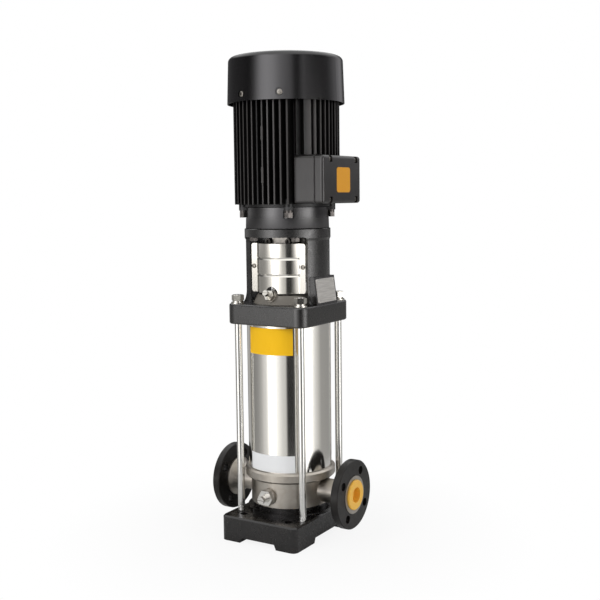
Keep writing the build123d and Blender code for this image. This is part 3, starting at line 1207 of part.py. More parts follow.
def cowl_screws():
    """Round-headed screws round the cowl's lower edge."""
    screw = headed_screw(COWL_SCREW_R, COWL_SCREW_HEAD_R, COWL_SCREW_HEAD, COWL_SCREW_LENGTH)
    screw = Pos(0, -COWL_SEAT_R, COWL_BOTTOM + COWL_SCREW_HEIGHT) * forward(screw)
    return group([from_front(angle, screw) for angle in COWL_SCREW_ANGLES])


# Terminal box on the +X side of the frame
def box_block(low_x, high_x, rounded):
    """Block of the box's outline between two X planes, edges rounded along X or at the front."""
    z = (BOX_BOTTOM, BOX_BOTTOM + BOX_HEIGHT)
    block = box((low_x, high_x), (-BOX_WIDTH / 2, BOX_WIDTH / 2), z)
    edges = block.edges().filter_by(Axis.X)
    if rounded:
        edges = edges + block.faces().sort_by(Axis.X)[-1].edges()
    return fillet(edges, BOX_EDGE_R)


def inside_block(low_x, high_x, wall):
    """Block inside the box's outline by a wall."""
    y = BOX_WIDTH / 2 - wall
    return box((low_x, high_x), (-y, y), (BOX_BOTTOM + wall, BOX_BOTTOM + BOX_HEIGHT - wall))


def cover_screw_places():
    """Y and Z of the four cover screws."""
    return [(COVER_SCREW_SHIFT + y * COVER_SCREW_Y, BOX_MIDDLE + z * COVER_SCREW_Z)
            for y in (-1, 1) for z in (-1, 1)]


GASKET_BACK = BOX_SEAM_X - GASKET_THICKNESS
SADDLE_R = BARREL_R + BOX_SADDLE_GAP
BOX_FLOOR = SADDLE_R + BOX_FLOOR_WALL
GLAND_X = GASKET_BACK - GLAND_HEX / 2 - GLAND_FROM_SEAM


def terminal_box():
    """Lower half of the box, saddled on the frame's barrel."""
    half = box_block(BOX_BACK_X, GASKET_BACK, False) - rod(SADDLE_R, BELL_TOP, FRAME_TOP)
    half -= inside_block(BOX_BACK_X, GASKET_BACK, 2 * BOX_WALL) - rod(BOX_FLOOR, BELL_TOP, FRAME_TOP)
    for x, y in bell_bolt_places():
        half -= Pos(x, y, 0) * rod(BELL_LUG_R + RUNNING_GAP, BELL_TOP, BELL_TOP + LUG_ON_FRAME + RUNNING_GAP)
    half -= Pos(0, 0, BOX_MIDDLE) * outward(1, rod(WIRE_HOLE_R, BARREL_R, BOX_FLOOR + MARGIN))
    half -= Pos(GLAND_X, BOX_WIDTH / 2, BOX_MIDDLE) * Rot(90, 0, 0) * Cylinder(GLAND_BORE_R, 4 * BOX_WALL)
    for y, z in cover_screw_places():
        hole = outward(1, rod(COVER_SCREW_R + SCREW_FIT, SADDLE_R, GASKET_BACK))
        half -= Pos(0, y, z) * hole
    return half


def box_gasket():
    """Flat gasket in the seam."""
    sheet = box_block(GASKET_BACK, BOX_SEAM_X, False) - inside_block(GASKET_BACK, BOX_SEAM_X, 2 * BOX_WALL)
    for y, z in cover_screw_places():
        sheet -= Pos(0, y, z) * outward(1, rod(COVER_SCREW_R + SCREW_FIT, GASKET_BACK, BOX_SEAM_X))
    return sheet


def terminal_cover():
    """Front cover with a pocket for each screw at its corners."""
    cover = box_block(BOX_SEAM_X, BOX_FRONT_X, True)
    cover -= inside_block(BOX_SEAM_X, BOX_FRONT_X - BOX_WALL, 2 * BOX_WALL)
    width, reach, depth = COVER_POCKET
    for y, z in cover_screw_places():
        # each pocket is open at the cover's upper or lower edge
        side = 1 if z > BOX_MIDDLE else -1
        pocket_z = sorted((z - side * reach, BOX_MIDDLE + side * BOX_HEIGHT / 2))
        cover -= box((BOX_FRONT_X - depth, BOX_FRONT_X), (y - width / 2, y + width / 2), pocket_z)
        cover -= Pos(0, y, z) * outward(1, rod(COVER_SCREW_R + SCREW_FIT, BOX_SEAM_X, BOX_FRONT_X))
    return cover


def terminal_cover_screws():
    """Cover screws, heads down in the pockets."""
    screw = headed_screw(COVER_SCREW_R, COVER_SCREW_HEAD_R, COVER_SCREW_HEAD, COVER_SCREW_LENGTH)
    seat = BOX_FRONT_X - COVER_POCKET[2]
    return group([Pos(seat, y, z) * outward(1, screw) for y, z in cover_screw_places()])


def terminal_board():
    """Moulded board with six studs."""
    thick, width, height = BOARD
    board = box((BOX_FLOOR, BOX_FLOOR + thick), (-width / 2, width / 2),
                (BOX_MIDDLE - height / 2, BOX_MIDDLE + height / 2))
    board -= Pos(0, 0, BOX_MIDDLE) * outward(1, rod(BOARD_HOLE_R, BOX_FLOOR, BOX_FLOOR + thick))
    across, up = STUD_COUNTS
    for i in range(across):
        for j in range(up):
            y, z = (i - (across - 1) / 2) * STUD_PITCH, (j - (up - 1) / 2) * STUD_ROW_PITCH
            board += Pos(BOX_FLOOR + thick, y, BOX_MIDDLE + z) * outward(1, rod(STUD_R, 0, STUD_LENGTH))
    return board


def cable_gland():
    """Empty cable gland on the +Y side of the box."""
    top = GLAND_HEX_THICKNESS + GLAND_NUT_LENGTH
    gland = hexagon(GLAND_HEX, 0, GLAND_HEX_THICKNESS) + rod(GLAND_NUT_R, GLAND_HEX_THICKNESS, top)
    gland = chamfer(gland.edges().group_by(Axis.Z)[-1], GLAND_EDGE)
    gland -= rod(GLAND_BORE_R, 0, top)
    return Pos(GLAND_X, BOX_WIDTH / 2, BOX_MIDDLE) * Rot(-90, 0, 0) * gland


NODES = {
    "base_plate": base_plate(),
    "casing": casing(),
    "inlet_flange": port_flange(-1, FLANGE_TURN),
    "outlet_flange": port_flange(1, FLANGE_TURN),
    "inlet_cap": port_cap(-1),
    "outlet_cap": port_cap(1),
    "drain_plug": drain_plug(),
    "drain_washer": drain_washer(),
    "drain_screw": drain_screw(),
    "outer_sleeve": outer_sleeve(),
    "sleeve_gaskets": sleeve_gaskets(),
    "upper_label": sleeve_label(UPPER_LABEL),
    "lower_label": sleeve_label(LOWER_LABEL),
    "tie_rods": tie_rods(),
    "tie_rod_nuts": tie_rod_nuts(),
    "tie_rod_washers": tie_rod_washers(),
    "tie_rod_lock_washers": tie_rod_lock_washers(),
    "motor_stool": motor_stool(),
    "nameplate": nameplate(),
    "head_cover": head_cover(),
    "vent_plug": vent_plug(),
    "vent_washer": vent_washer(),
    "vent_screw": vent_screw(),
    "seal_seat": seal_seat(),
    "seal_head": seal_head(),
    "coupling_half_front": coupling_half(-1),
    "coupling_half_rear": coupling_half(1),
    "coupling_bolts": coupling_bolts(),
    "coupling_pin": coupling_pin(),
    "coupling_guard_front": coupling_guard(-1),
    "coupling_guard_rear": coupling_guard(1),
    "guard_screws": guard_screws(),
    "stage_chambers": group([stage_chamber(stage) for stage in range(STAGES)]),
    "impellers": group([impeller(stage) for stage in range(STAGES)]),
    "impeller_spacers": impeller_spacers(),
    "suction_spider": suction_spider(),
    "lower_bush": lower_bush(),
    "stack_top_ring": stack_top_ring(),
    "stack_straps": stack_straps(),
    "pump_shaft": pump_shaft(),
    "motor_bolts": motor_bolts(),
    "drive_end_shield": drive_end_shield(),
    "bell_bolts": bell_bolts(),
    "motor_frame": motor_frame(),
    "stator_core": stator_core(),
    "stator_windings": stator_windings(),
    "rotor_core": rotor_core(),
    "motor_shaft": motor_shaft(),
    "bearing_outer_rings": bearing_outer_rings(),
    "bearing_inner_rings": bearing_inner_rings(),
    "fan_end_shield": fan_end_shield(),
    "fan": fan(),
    "fan_cowl": fan_cowl(),
    "cowl_screws": cowl_screws(),
    "terminal_box": terminal_box(),
    "box_gasket": box_gasket(),
    "terminal_cover": terminal_cover(),
    "terminal_cover_screws": terminal_cover_screws(),
    "terminal_board": terminal_board(),
    "cable_gland": cable_gland(),
}

os.makedirs("parts", exist_ok=True)
for name, shape in NODES.items():
    export_step(shape, f"parts/{name}.step")
    print(name, len(shape.solids()))
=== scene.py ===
# Vertical multistage pump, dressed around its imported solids. Metres, in the solids' own frame:
# +Z runs up the shaft, +X along the ports to the outlet, and -Y to the drain and the vent.
from math import cos, pi, radians, sin

import bpy
from mathutils import Matrix, Vector


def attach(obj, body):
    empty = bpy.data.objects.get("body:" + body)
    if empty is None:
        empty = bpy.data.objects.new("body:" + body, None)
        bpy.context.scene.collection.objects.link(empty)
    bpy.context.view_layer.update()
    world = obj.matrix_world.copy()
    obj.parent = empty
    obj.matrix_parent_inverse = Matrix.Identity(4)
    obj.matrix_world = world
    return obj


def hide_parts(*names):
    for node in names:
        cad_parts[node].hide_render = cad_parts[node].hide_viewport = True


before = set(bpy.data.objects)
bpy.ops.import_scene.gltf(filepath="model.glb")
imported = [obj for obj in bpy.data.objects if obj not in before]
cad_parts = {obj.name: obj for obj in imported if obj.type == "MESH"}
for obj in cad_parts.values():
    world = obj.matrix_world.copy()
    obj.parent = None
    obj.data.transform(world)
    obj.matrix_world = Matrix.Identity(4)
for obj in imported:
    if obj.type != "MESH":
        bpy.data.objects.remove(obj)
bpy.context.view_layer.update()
MM = 0.001


# Base plate. Grey cast iron, poured in sand, fettled and sprayed with satin black enamel.
# The sand leaves a pebbled skin under the paint, and the long faces are never quite flat.
def srgb(code):
    """A colour written as sRGB hex, as linear RGBA."""
    channels = [int(code[i:i + 2], 16) / 255 for i in (1, 3, 5)]
    return [c / 12.92 if c <= 0.04045 else ((c + 0.055) / 1.055) ** 2.4 for c in channels] + [1.0]


def add_node(tree, kind, settings=None, links=None):
    """Adds a node. Settings are attributes or input values, links lead output sockets to inputs.

    Input sockets are named, or numbered where a node has several of one name."""
    node = tree.nodes.new(kind)
    for name, value in (settings or {}).items():
        if isinstance(name, str) and name not in node.inputs:
            setattr(node, name, value)
        else:
            node.inputs[name].default_value = value
    for name, socket in (links or {}).items():
        tree.links.new(socket, node.inputs[name])
    return node


def new_material(name, colour, metallic, roughness, settings=None):
    """A finish with its even values on the shader's own sockets."""
    material = bpy.data.materials.new(name)
    material.use_nodes = True
    shader = material.node_tree.nodes["Principled BSDF"]
    values = {"Base Color": srgb(colour), "Metallic": metallic, "Roughness": roughness}
    for key, value in {**values, **(settings or {})}.items():
        shader.inputs[key].default_value = value
    return material


def unevenness(material, size, detail=2.0, stretch=(1, 1, 1)):
    """Chance variation over a piece, from 0 to 1; size is that of its grains or blotches."""
    tree = material.node_tree
    place = add_node(tree, "ShaderNodeTexCoord").outputs["Object"]
    drawn = add_node(tree, "ShaderNodeMapping", {"Scale": stretch}, {"Vector": place})
    noise = add_node(tree, "ShaderNodeTexNoise", {"Scale": 1 / size, "Detail": detail},
                     {"Vector": drawn.outputs["Vector"]})
    return noise.outputs["Fac"]


def raise_skin(material, height, depth):
    """Relief of a real depth, laid over any relief the finish already has."""
    tree = material.node_tree
    normal = tree.nodes["Principled BSDF"].inputs["Normal"]
    bump = add_node(tree, "ShaderNodeBump", {"Strength": 1.0, "Distance": depth}, {"Height": height})
    if normal.is_linked:
        tree.links.new(normal.links[0].from_socket, bump.inputs["Normal"])
    tree.links.new(bump.outputs["Normal"], normal)


def vary_colour(material, where, colours):
    """Two or three colours, spread over the middle of a variation."""
    tree = material.node_tree
    ramp = add_node(tree, "ShaderNodeValToRGB", None, {"Fac": where})
    ends = ramp.color_ramp.elements
    ends[0].position, ends[1].position = 0.36, 0.64
    ends[0].color, ends[1].color = srgb(colours[0]), srgb(colours[-1])
    if len(colours) == 3:
        ends.new(0.5).color = srgb(colours[1])
    tree.links.new(ramp.outputs["Color"], tree.nodes["Principled BSDF"].inputs["Base Color"])


def vary_gloss(material, where, smoothest, roughest):
    """Roughness between two values, over the middle of a variation."""
    tree = material.node_tree
    spread = add_node(tree, "ShaderNodeMapRange", {"From Min": 0.3, "From Max": 0.7,
                                                   "To Min": smoothest, "To Max": roughest},
                      {"Value": where})
    tree.links.new(spread.outputs["Result"], tree.nodes["Principled BSDF"].inputs["Roughness"])


def finish(material, *nodes):
    """Gives solids their finish."""
    for node in nodes:
        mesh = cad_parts[node].data
        mesh.materials.clear()
        mesh.materials.append(material)


# Satin enamel over a sand-cast skin: dark, a broad soft sheen, pebbled and a little blotchy
casting_enamel = new_material("casting_enamel", "#131110", 0.0, 0.26, {"IOR": 1.5})
vary_colour(casting_enamel, unevenness(casting_enamel, 26 * MM), ("#151312", "#110f0e", "#171413"))
vary_gloss(casting_enamel, unevenness(casting_enamel, 9 * MM), 0.2, 0.31)
raise_skin(casting_enamel, unevenness(casting_enamel, 40 * MM, 1.0), 0.5 * MM)
raise_skin(casting_enamel, unevenness(casting_enamel, 2.4 * MM, 3.0), 0.03 * MM)
finish(casting_enamel, "base_plate")


# Inlet and outlet casing. Stainless steel, turned and welded, then blasted with fine glass beads,
# which gives an even satin grey, here and there a little browner.
blasted_steel = new_material("bead_blasted_stainless_steel", "#a7a29a", 1.0, 0.37)
vary_colour(blasted_steel, unevenness(blasted_steel, 22 * MM), ("#a8a39b", "#a19b92", "#aca79f"))
# The beads' marks are about 0.2 mm wide, drawn at 0.7 mm so that they show
raise_skin(blasted_steel, unevenness(blasted_steel, 0.7 * MM, 2.0), 0.02 * MM)
finish(blasted_steel, "casing")


# Loose port flanges. Cast iron rings, turned on the sealing side, dipped in thin black paint.
# They swivel on the stub ends until the pipe's bolts hold them.
flange_paint = new_material("dipped_black_paint", "#1a1816", 0.0, 0.36, {"IOR": 1.33})
vary_colour(flange_paint, unevenness(flange_paint, 18 * MM), ("#171514", "#1d1b19"))
vary_gloss(flange_paint, unevenness(flange_paint, 7 * MM), 0.28, 0.4)
raise_skin(flange_paint, unevenness(flange_paint, 1.6 * MM, 3.0), 0.05 * MM)
finish(flange_paint, "inlet_flange", "outlet_flange")


# Transport caps. Polyethylene, injection moulded, pushed into the ports. The soft plastic lets some
# light into it, so its hollow looks a deeper orange than its rim.
cap_plastic = new_material("moulded_yellow_polyethylene", "#efb945", 0.0, 0.42,
                           {"IOR": 1.51, "Subsurface Weight": 0.15, "Subsurface Scale": 2 * MM})
cap_plastic.node_tree.nodes["Principled BSDF"].inputs["Subsurface Radius"].default_value = (1.0, 0.5, 0.15)
raise_skin(cap_plastic, unevenness(cap_plastic, 5 * MM, 1.0), 0.08 * MM)
finish(cap_plastic, "inlet_cap", "outlet_cap")


# Drain plug with its bypass screw. Stainless hexagon bar, turned and tumbled bright, on a washer of
# soft aluminium that is pressed flat.
turned_steel = new_material("bright_turned_stainless_steel", "#d6d4cf", 1.0, 0.16)
raise_skin(turned_steel, unevenness(turned_steel, 3 * MM, 2.0), 0.03 * MM)
finish(turned_steel, "drain_plug", "drain_screw")
washer_aluminium = new_material("pressed_soft_aluminium", "#a5a199", 1.0, 0.38)
raise_skin(washer_aluminium, unevenness(washer_aluminium, 1.0 * MM, 1.0), 0.02 * MM)
finish(washer_aluminium, "drain_washer")


# Stages. Chambers, impellers and spacers of thin stainless sheet, deep drawn and spot welded, stacked
# on the shaft. Drawing leaves fine lines round each piece.
drawn_steel = new_material("deep_drawn_stainless_steel", "#c3bfb8", 1.0, 0.26)
vary_gloss(drawn_steel, unevenness(drawn_steel, 12 * MM), 0.2, 0.34)
raise_skin(drawn_steel, unevenness(drawn_steel, 1.2 * MM, 2.0, (0.1, 0.1, 1.0)), 0.02 * MM)
finish(drawn_steel, "stage_chambers", "impellers", "impeller_spacers", "suction_spider", "stack_top_ring",
       "stack_straps")
ground_steel = new_material("ground_shaft_steel", "#cfccc6", 1.0, 0.14)
raise_skin(ground_steel, unevenness(ground_steel, 0.8 * MM, 2.0, (0.1, 0.1, 1.0)), 0.006 * MM)
finish(ground_steel, "pump_shaft")


# Shaft seal and lower bush. A seat and a bush of sintered ceramic, ground to a dull sheen, and a spring
# loaded steel head that turns with the shaft.
seal_ceramic = new_material("sintered_silicon_carbide", "#3c3d40", 0.0, 0.28, {"IOR": 2.0})
vary_colour(seal_ceramic, unevenness(seal_ceramic, 0.8 * MM), ("#36373a", "#434448"))
finish(seal_ceramic, "seal_seat", "lower_bush")
finish(turned_steel, "seal_head")


# Outer sleeve. Stainless tube, rolled from sheet and welded at the back, ground lengthwise and then
# polished round on a belt, so reflections are drawn out upwards and waver a little across it.
polished_steel = new_material("belt_polished_stainless_steel", "#d6d4cf", 1.0, 0.13,
                              {"Anisotropic": 0.6, "Anisotropic Rotation": 0.25})
# The belt ran round the tube, so its marks lie level, square to the tube's axis
sleeve_tree = polished_steel.node_tree
tube_axis = add_node(sleeve_tree, "ShaderNodeTangent", {"direction_type": "RADIAL", "axis": "Z"})
sleeve_tree.links.new(tube_axis.outputs["Tangent"],
                      sleeve_tree.nodes["Principled BSDF"].inputs["Tangent"])
raise_skin(polished_steel, unevenness(polished_steel, 34 * MM, 1.0, (1.0, 1.0, 0.16)), 0.05 * MM)
raise_skin(polished_steel, unevenness(polished_steel, 1.4 * MM, 2.0, (1.0, 1.0, 0.02)), 0.003 * MM)
finish(polished_steel, "outer_sleeve")
gasket_rubber = new_material("moulded_nitrile_rubber", "#1d1c1b", 0.0, 0.62, {"IOR": 1.52})
raise_skin(gasket_rubber, unevenness(gasket_rubber, 1.5 * MM, 2.0), 0.03 * MM)
finish(gasket_rubber, "sleeve_gaskets", "box_gasket")


# Labels. Two plain stickers of vinyl film on the front of the sleeve, a yellow one under the head and a
# white one above the casing, pressed on by hand. They have a dull gloss, with a little air under them.
yellow_film = new_material("yellow_vinyl_film", "#ffc608", 0.0, 0.5, {"IOR": 1.4})
raise_skin(yellow_film, unevenness(yellow_film, 9 * MM, 1.0), 0.05 * MM)
finish(yellow_film, "upper_label")
white_film = new_material("white_vinyl_film", "#f3f4f5", 0.0, 0.45, {"IOR": 1.4})
raise_skin(white_film, unevenness(white_film, 9 * MM, 1.0), 0.05 * MM)
finish(white_film, "lower_label")


# Head and motor stool. One casting of grey iron, enamelled like the base, with finer sand and a
# smoother coat because it is the face of the pump.
stool_enamel = new_material("stool_enamel", "#131211", 0.0, 0.27, {"IOR": 1.65})
vary_colour(stool_enamel, unevenness(stool_enamel, 24 * MM), ("#131211", "#100f0e", "#151312"))
vary_gloss(stool_enamel, unevenness(stool_enamel, 11 * MM), 0.24, 0.31)
raise_skin(stool_enamel, unevenness(stool_enamel, 30 * MM, 1.0), 0.12 * MM)
raise_skin(stool_enamel, unevenness(stool_enamel, 2.0 * MM, 3.0), 0.03 * MM)
finish(stool_enamel, "motor_stool")


# Rating plate. Thin aluminium, brushed across and left bare, on the sloping pad of the stool, held by
# four round-headed drive rivets.
HEAD_TOP = 394.3
PLATE_FOOT_X = 76.0
PLATE_TILT = radians(7.8)
PLATE_ABOVE_HEAD = 3.0
PLATE_HEIGHT = 39.0
PLATE_THICKNESS = 0.8
RIVET_SPACING_ACROSS = 53.0
RIVET_SPACING_UP = 33.0
RIVET_HEAD_R = 1.7
brushed_plate = new_material("brushed_aluminium", "#c2bfba", 0.35, 0.42)
vary_colour(brushed_plate, unevenness(brushed_plate, 1.6 * MM, 2.0, (1.0, 0.06, 1.0)),
            ("#b0ada8", "#c6c3be"))
raise_skin(brushed_plate, unevenness(brushed_plate, 0.9 * MM, 2.0, (1.0, 0.03, 1.0)), 0.012 * MM)
finish(brushed_plate, "nameplate")


def grow(name, sizes, build, material, seed_mesh=None):
    """Runs a Geometry Nodes tree with named sizes and keeps what it makes as a plain mesh."""
    tree = bpy.data.node_groups.new(name, "GeometryNodeTree")
    tree.interface.new_socket("Geometry", in_out="OUTPUT", socket_type="NodeSocketGeometry")
    tree.interface.new_socket("Geometry", in_out="INPUT", socket_type="NodeSocketGeometry")
    sockets = {size: tree.interface.new_socket(size, in_out="INPUT", socket_type="NodeSocketFloat")
               for size in sizes}
    given = tree.nodes.new("NodeGroupInput").outputs
    shape = build(tree, given)
    real = add_node(tree, "GeometryNodeRealizeInstances", None, {"Geometry": shape})
    painted = add_node(tree, "GeometryNodeSetMaterial", {"Material": material},
                       {"Geometry": real.outputs["Geometry"]})
    add_node(tree, "NodeGroupOutput", None, {"Geometry": painted.outputs["Geometry"]})
    piece = bpy.data.objects.new(name, seed_mesh or bpy.data.meshes.new(name))
    bpy.context.scene.collection.objects.link(piece)
    modifier = piece.modifiers.new(name, "NODES")
    modifier.node_group = tree
    for size, value in sizes.items():
        modifier[sockets[size].identifier] = value
    evaluated = piece.evaluated_get(bpy.context.evaluated_depsgraph_get())
    mesh = bpy.data.meshes.new_from_object(evaluated)
    piece.modifiers.remove(modifier)
    piece.data = mesh
    return piece


def build_rivets(tree, given):
    """Low domes on the corners of a rectangle, laid on the plate."""
    corners = add_node(tree, "GeometryNodeMeshGrid", {"Vertices X": 2, "Vertices Y": 2},
                       {"Size X": given["Across"], "Size Y": given["Up"]})
    dome = add_node(tree, "GeometryNodeMeshUVSphere", {"Segments": 20, "Rings": 10},
                    {"Radius": given["Head radius"]})
    low = add_node(tree, "GeometryNodeTransform", {"Scale": (1.0, 1.0, 0.5)},
                   {"Geometry": dome.outputs["Mesh"]})
    smooth = add_node(tree, "GeometryNodeSetShadeSmooth", None, {"Geometry": low.outputs["Geometry"]})
    heads = add_node(tree, "GeometryNodeInstanceOnPoints", None,
                     {"Points": corners.outputs["Mesh"], "Instance": smooth.outputs["Geometry"]})
    place = add_node(tree, "ShaderNodeCombineXYZ", None, {"X": given["Out"], "Z": given["Height"]})
    lean = add_node(tree, "ShaderNodeCombineXYZ", {"Z": pi / 2}, {"X": given["Lean"]})
    return add_node(tree, "GeometryNodeTransform", None,
                    {"Geometry": heads.outputs["Instances"], "Translation": place.outputs["Vector"],
                     "Rotation": lean.outputs["Vector"]}).outputs["Geometry"]


# The middle of the plate's face: how far up the pad, then out from the shaft and above the floor
plate_up = PLATE_ABOVE_HEAD + PLATE_HEIGHT / 2
plate_out = (PLATE_FOOT_X - plate_up * sin(PLATE_TILT) + PLATE_THICKNESS * cos(PLATE_TILT)) * MM
plate_height = (HEAD_TOP + plate_up * cos(PLATE_TILT) + PLATE_THICKNESS * sin(PLATE_TILT)) * MM
rivet_metal = new_material("bright_aluminium_rivet", "#cfccc7", 1.0, 0.25)
raise_skin(rivet_metal, unevenness(rivet_metal, 1.5 * MM, 1.0), 0.02 * MM)
plate_rivets = grow("plate_rivets",
                    {"Across": RIVET_SPACING_ACROSS * MM, "Up": RIVET_SPACING_UP * MM,
                     "Head radius": RIVET_HEAD_R * MM, "Out": plate_out, "Height": plate_height,
                     "Lean": pi / 2 - PLATE_TILT},
                    build_rivets, rivet_metal)
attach(plate_rivets, "stand")


# Tie rods. Stainless bar, cold drawn bright and even, with a rolled thread at each end, screwed into
# the base. The lower thread runs on for a few turns above the base.
ROD_HALF_SPACING = 61.0
THREAD_BOTTOM = 38.0
THREAD_TURNS = 7.0
THREAD_PITCH = 1.75
THREAD_PATH_R = 5.55
THREAD_RIDGE_R = 0.8
drawn_bar = new_material("cold_drawn_bright_bar", "#d2d1ce", 1.0, 0.2)
finish(drawn_bar, "tie_rods")


def build_threads(tree, given):
    """One ridge that winds up a rod, at each of the four rods."""
    rise = add_node(tree, "ShaderNodeMath", {"operation": "MULTIPLY"},
                    {0: given["Pitch"], 1: given["Turns"]})
    path = add_node(tree, "GeometryNodeCurveSpiral", {"Resolution": 24},
                    {"Rotations": given["Turns"], "Start Radius": given["Radius"],
                     "End Radius": given["Radius"], "Height": rise.outputs["Value"]})
    ridge = add_node(tree, "GeometryNodeCurvePrimitiveCircle", {"Resolution": 4},
                     {"Radius": given["Ridge"]})
    wound = add_node(tree, "GeometryNodeCurveToMesh", {"Fill Caps": True},
                     {"Curve": path.outputs["Curve"], "Profile Curve": ridge.outputs["Curve"]})
    rods = add_node(tree, "GeometryNodeMeshGrid", {"Vertices X": 2, "Vertices Y": 2},
                    {"Size X": given["Spacing"], "Size Y": given["Spacing"]})
    each = add_node(tree, "GeometryNodeInstanceOnPoints", None,
                    {"Points": rods.outputs["Mesh"], "Instance": wound.outputs["Mesh"]})
    height = add_node(tree, "ShaderNodeCombineXYZ", None, {"Z": given["Height"]})
    return add_node(tree, "GeometryNodeTransform", None,
                    {"Geometry": each.outputs["Instances"],
                     "Translation": height.outputs["Vector"]}).outputs["Geometry"]


rod_threads = grow("rod_threads",
                   {"Spacing": 2 * ROD_HALF_SPACING * MM, "Radius": THREAD_PATH_R * MM,
                    "Ridge": THREAD_RIDGE_R * MM, "Pitch": THREAD_PITCH * MM,
                    "Turns": THREAD_TURNS, "Height": THREAD_BOTTOM * MM},
                   build_threads, drawn_bar)
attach(rod_threads, "stand")


# Nuts and washers of the tie rods. Steel, cold forged, bright nickel plated, so the hexagon's faces
# mirror the studio like chrome. The nuts are chamfered at both ends and stand as they were tightened.
NUT_FLATS = 18.0
NUT_SEAT = 399.0
NUT_HEIGHT = 9.8
NUT_BORE_R = 6.05
NUT_FACE_SHARE = 0.49     # radius of the flat ring inside the chamfer, in widths over the flats
CHAMFER_SLOPE = 0.577     # thirty degrees
NUT_SEGMENTS = 48
NUT_FIRST_TURN = radians(-1)
NUT_TURN_STEP = radians(0.39)
nickel_plate = new_material("bright_nickel_plated_steel", "#c9c6bf", 1.0, 0.17)
raise_skin(nickel_plate, unevenness(nickel_plate, 4 * MM, 1.0), 0.05 * MM)
finish(nickel_plate, "tie_rod_washers", "tie_rod_lock_washers")


def nut_mesh(flats, height, bore_r):
    """A chamfered hexagon nut standing on height 0, ring by ring round its bore."""
    chamfer_r = NUT_FACE_SHARE * flats
    points, faces = [], []
    for step in range(NUT_SEGMENTS):
        turn = 2 * pi * step / NUT_SEGMENTS
        off_flat = (turn + pi / 6) % (pi / 3) - pi / 6
        radius = flats / 2 / cos(off_flat)
        drop = CHAMFER_SLOPE * (radius - chamfer_r)
        for r, z in ((bore_r, 0.0), (chamfer_r, 0.0), (radius, drop), (radius, height - drop),
                     (chamfer_r, height), (bore_r, height)):
            points.append((r * cos(turn) * MM, r * sin(turn) * MM, z * MM))
    for step in range(NUT_SEGMENTS):
        here, ahead = 6 * step, 6 * ((step + 1) % NUT_SEGMENTS)
        for ring in range(6):
            beyond = (ring + 1) % 6
            faces.append((here + ring, ahead + ring, ahead + beyond, here + beyond))
    mesh = bpy.data.meshes.new("nut")
    mesh.from_pydata(points, [], faces)
    return mesh


def build_nuts(tree, given):
    """A nut on each of the four rods, each turned a little further than the one before."""
    rods = add_node(tree, "GeometryNodeMeshGrid", {"Vertices X": 2, "Vertices Y": 2},
                    {"Size X": given["Spacing"], "Size Y": given["Spacing"]})
    index = add_node(tree, "GeometryNodeInputIndex")
    further = add_node(tree, "ShaderNodeMath", {"operation": "POWER", 1: 4.0}, {0: index.outputs["Index"]})
    turn = add_node(tree, "ShaderNodeMath", {"operation": "MULTIPLY_ADD"},
                    {0: further.outputs["Value"], 1: given["Turn step"], 2: given["First turn"]})
    spin = add_node(tree, "ShaderNodeCombineXYZ", None, {"Z": turn.outputs["Value"]})
    each = add_node(tree, "GeometryNodeInstanceOnPoints", None,
                    {"Points": rods.outputs["Mesh"], "Instance": given["Geometry"],
                     "Rotation": spin.outputs["Vector"]})
    height = add_node(tree, "ShaderNodeCombineXYZ", None, {"Z": given["Height"]})
    return add_node(tree, "GeometryNodeTransform", None,
                    {"Geometry": each.outputs["Instances"],
                     "Translation": height.outputs["Vector"]}).outputs["Geometry"]


rod_nuts = grow("chamfered_nuts",
                {"Spacing": 2 * ROD_HALF_SPACING * MM, "Height": NUT_SEAT * MM,
                 "First turn": NUT_FIRST_TURN, "Turn step": NUT_TURN_STEP},
                build_nuts, nickel_plate, nut_mesh(NUT_FLATS, NUT_HEIGHT, NUT_BORE_R))
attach(rod_nuts, "stand")
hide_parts("tie_rod_nuts")


# Head cover. A coned iron casting under a coat of grey-brown enamel, let into the head. It closes the
# pump and holds the seat of the shaft seal.
cover_enamel = new_material("grey_brown_cover_enamel", "#716c64", 0.0, 0.4, {"IOR": 1.5})
vary_colour(cover_enamel, unevenness(cover_enamel, 14 * MM), ("#6b665e", "#79746c"))
raise_skin(cover_enamel, unevenness(cover_enamel, 1.8 * MM, 3.0), 0.06 * MM)
finish(cover_enamel, "head_cover")


# Air vent. A hexagon body with a slotted bleed screw, both turned from stainless bar, on a washer
# like the drain's.
finish(nickel_plate, "vent_plug", "vent_screw")
finish(washer_aluminium, "vent_washer")


# Coupling. Two halves of machined grey iron, pulled together round both shafts by four socket screws,
# with a cross pin through the pump shaft. The cutter leaves fine rings.
machined_iron = new_material("machined_grey_iron", "#a19d97", 1.0, 0.38)
vary_colour(machined_iron, unevenness(machined_iron, 8 * MM), ("#97938d", "#aaa6a0"))
raise_skin(machined_iron, unevenness(machined_iron, 0.9 * MM, 2.0, (0.1, 0.1, 1.0)), 0.03 * MM)
finish(machined_iron, "coupling_half_front", "coupling_half_rear")
blued_steel = new_material("blackened_screw_steel", "#3c3a38", 1.0, 0.35)
raise_skin(blued_steel, unevenness(blued_steel, 1.5 * MM, 2.0), 0.03 * MM)
finish(blued_steel, "coupling_bolts")
finish(ground_steel, "coupling_pin")


# Coupling guards. Stainless sheet, 1.2 mm, pressed with two beads and bent at the sides. Polished
# upright before it was pressed, with a little more waver than the sleeve from the press.
guard_steel = new_material("pressed_polished_stainless_sheet", "#d2cfc8", 1.0, 0.13)
raise_skin(guard_steel, unevenness(guard_steel, 26 * MM, 1.0, (1.0, 1.0, 0.3)), 0.06 * MM)
raise_skin(guard_steel, unevenness(guard_steel, 1.2 * MM, 2.0, (1.0, 1.0, 0.03)), 0.004 * MM)
finish(guard_steel, "coupling_guard_front", "coupling_guard_rear")


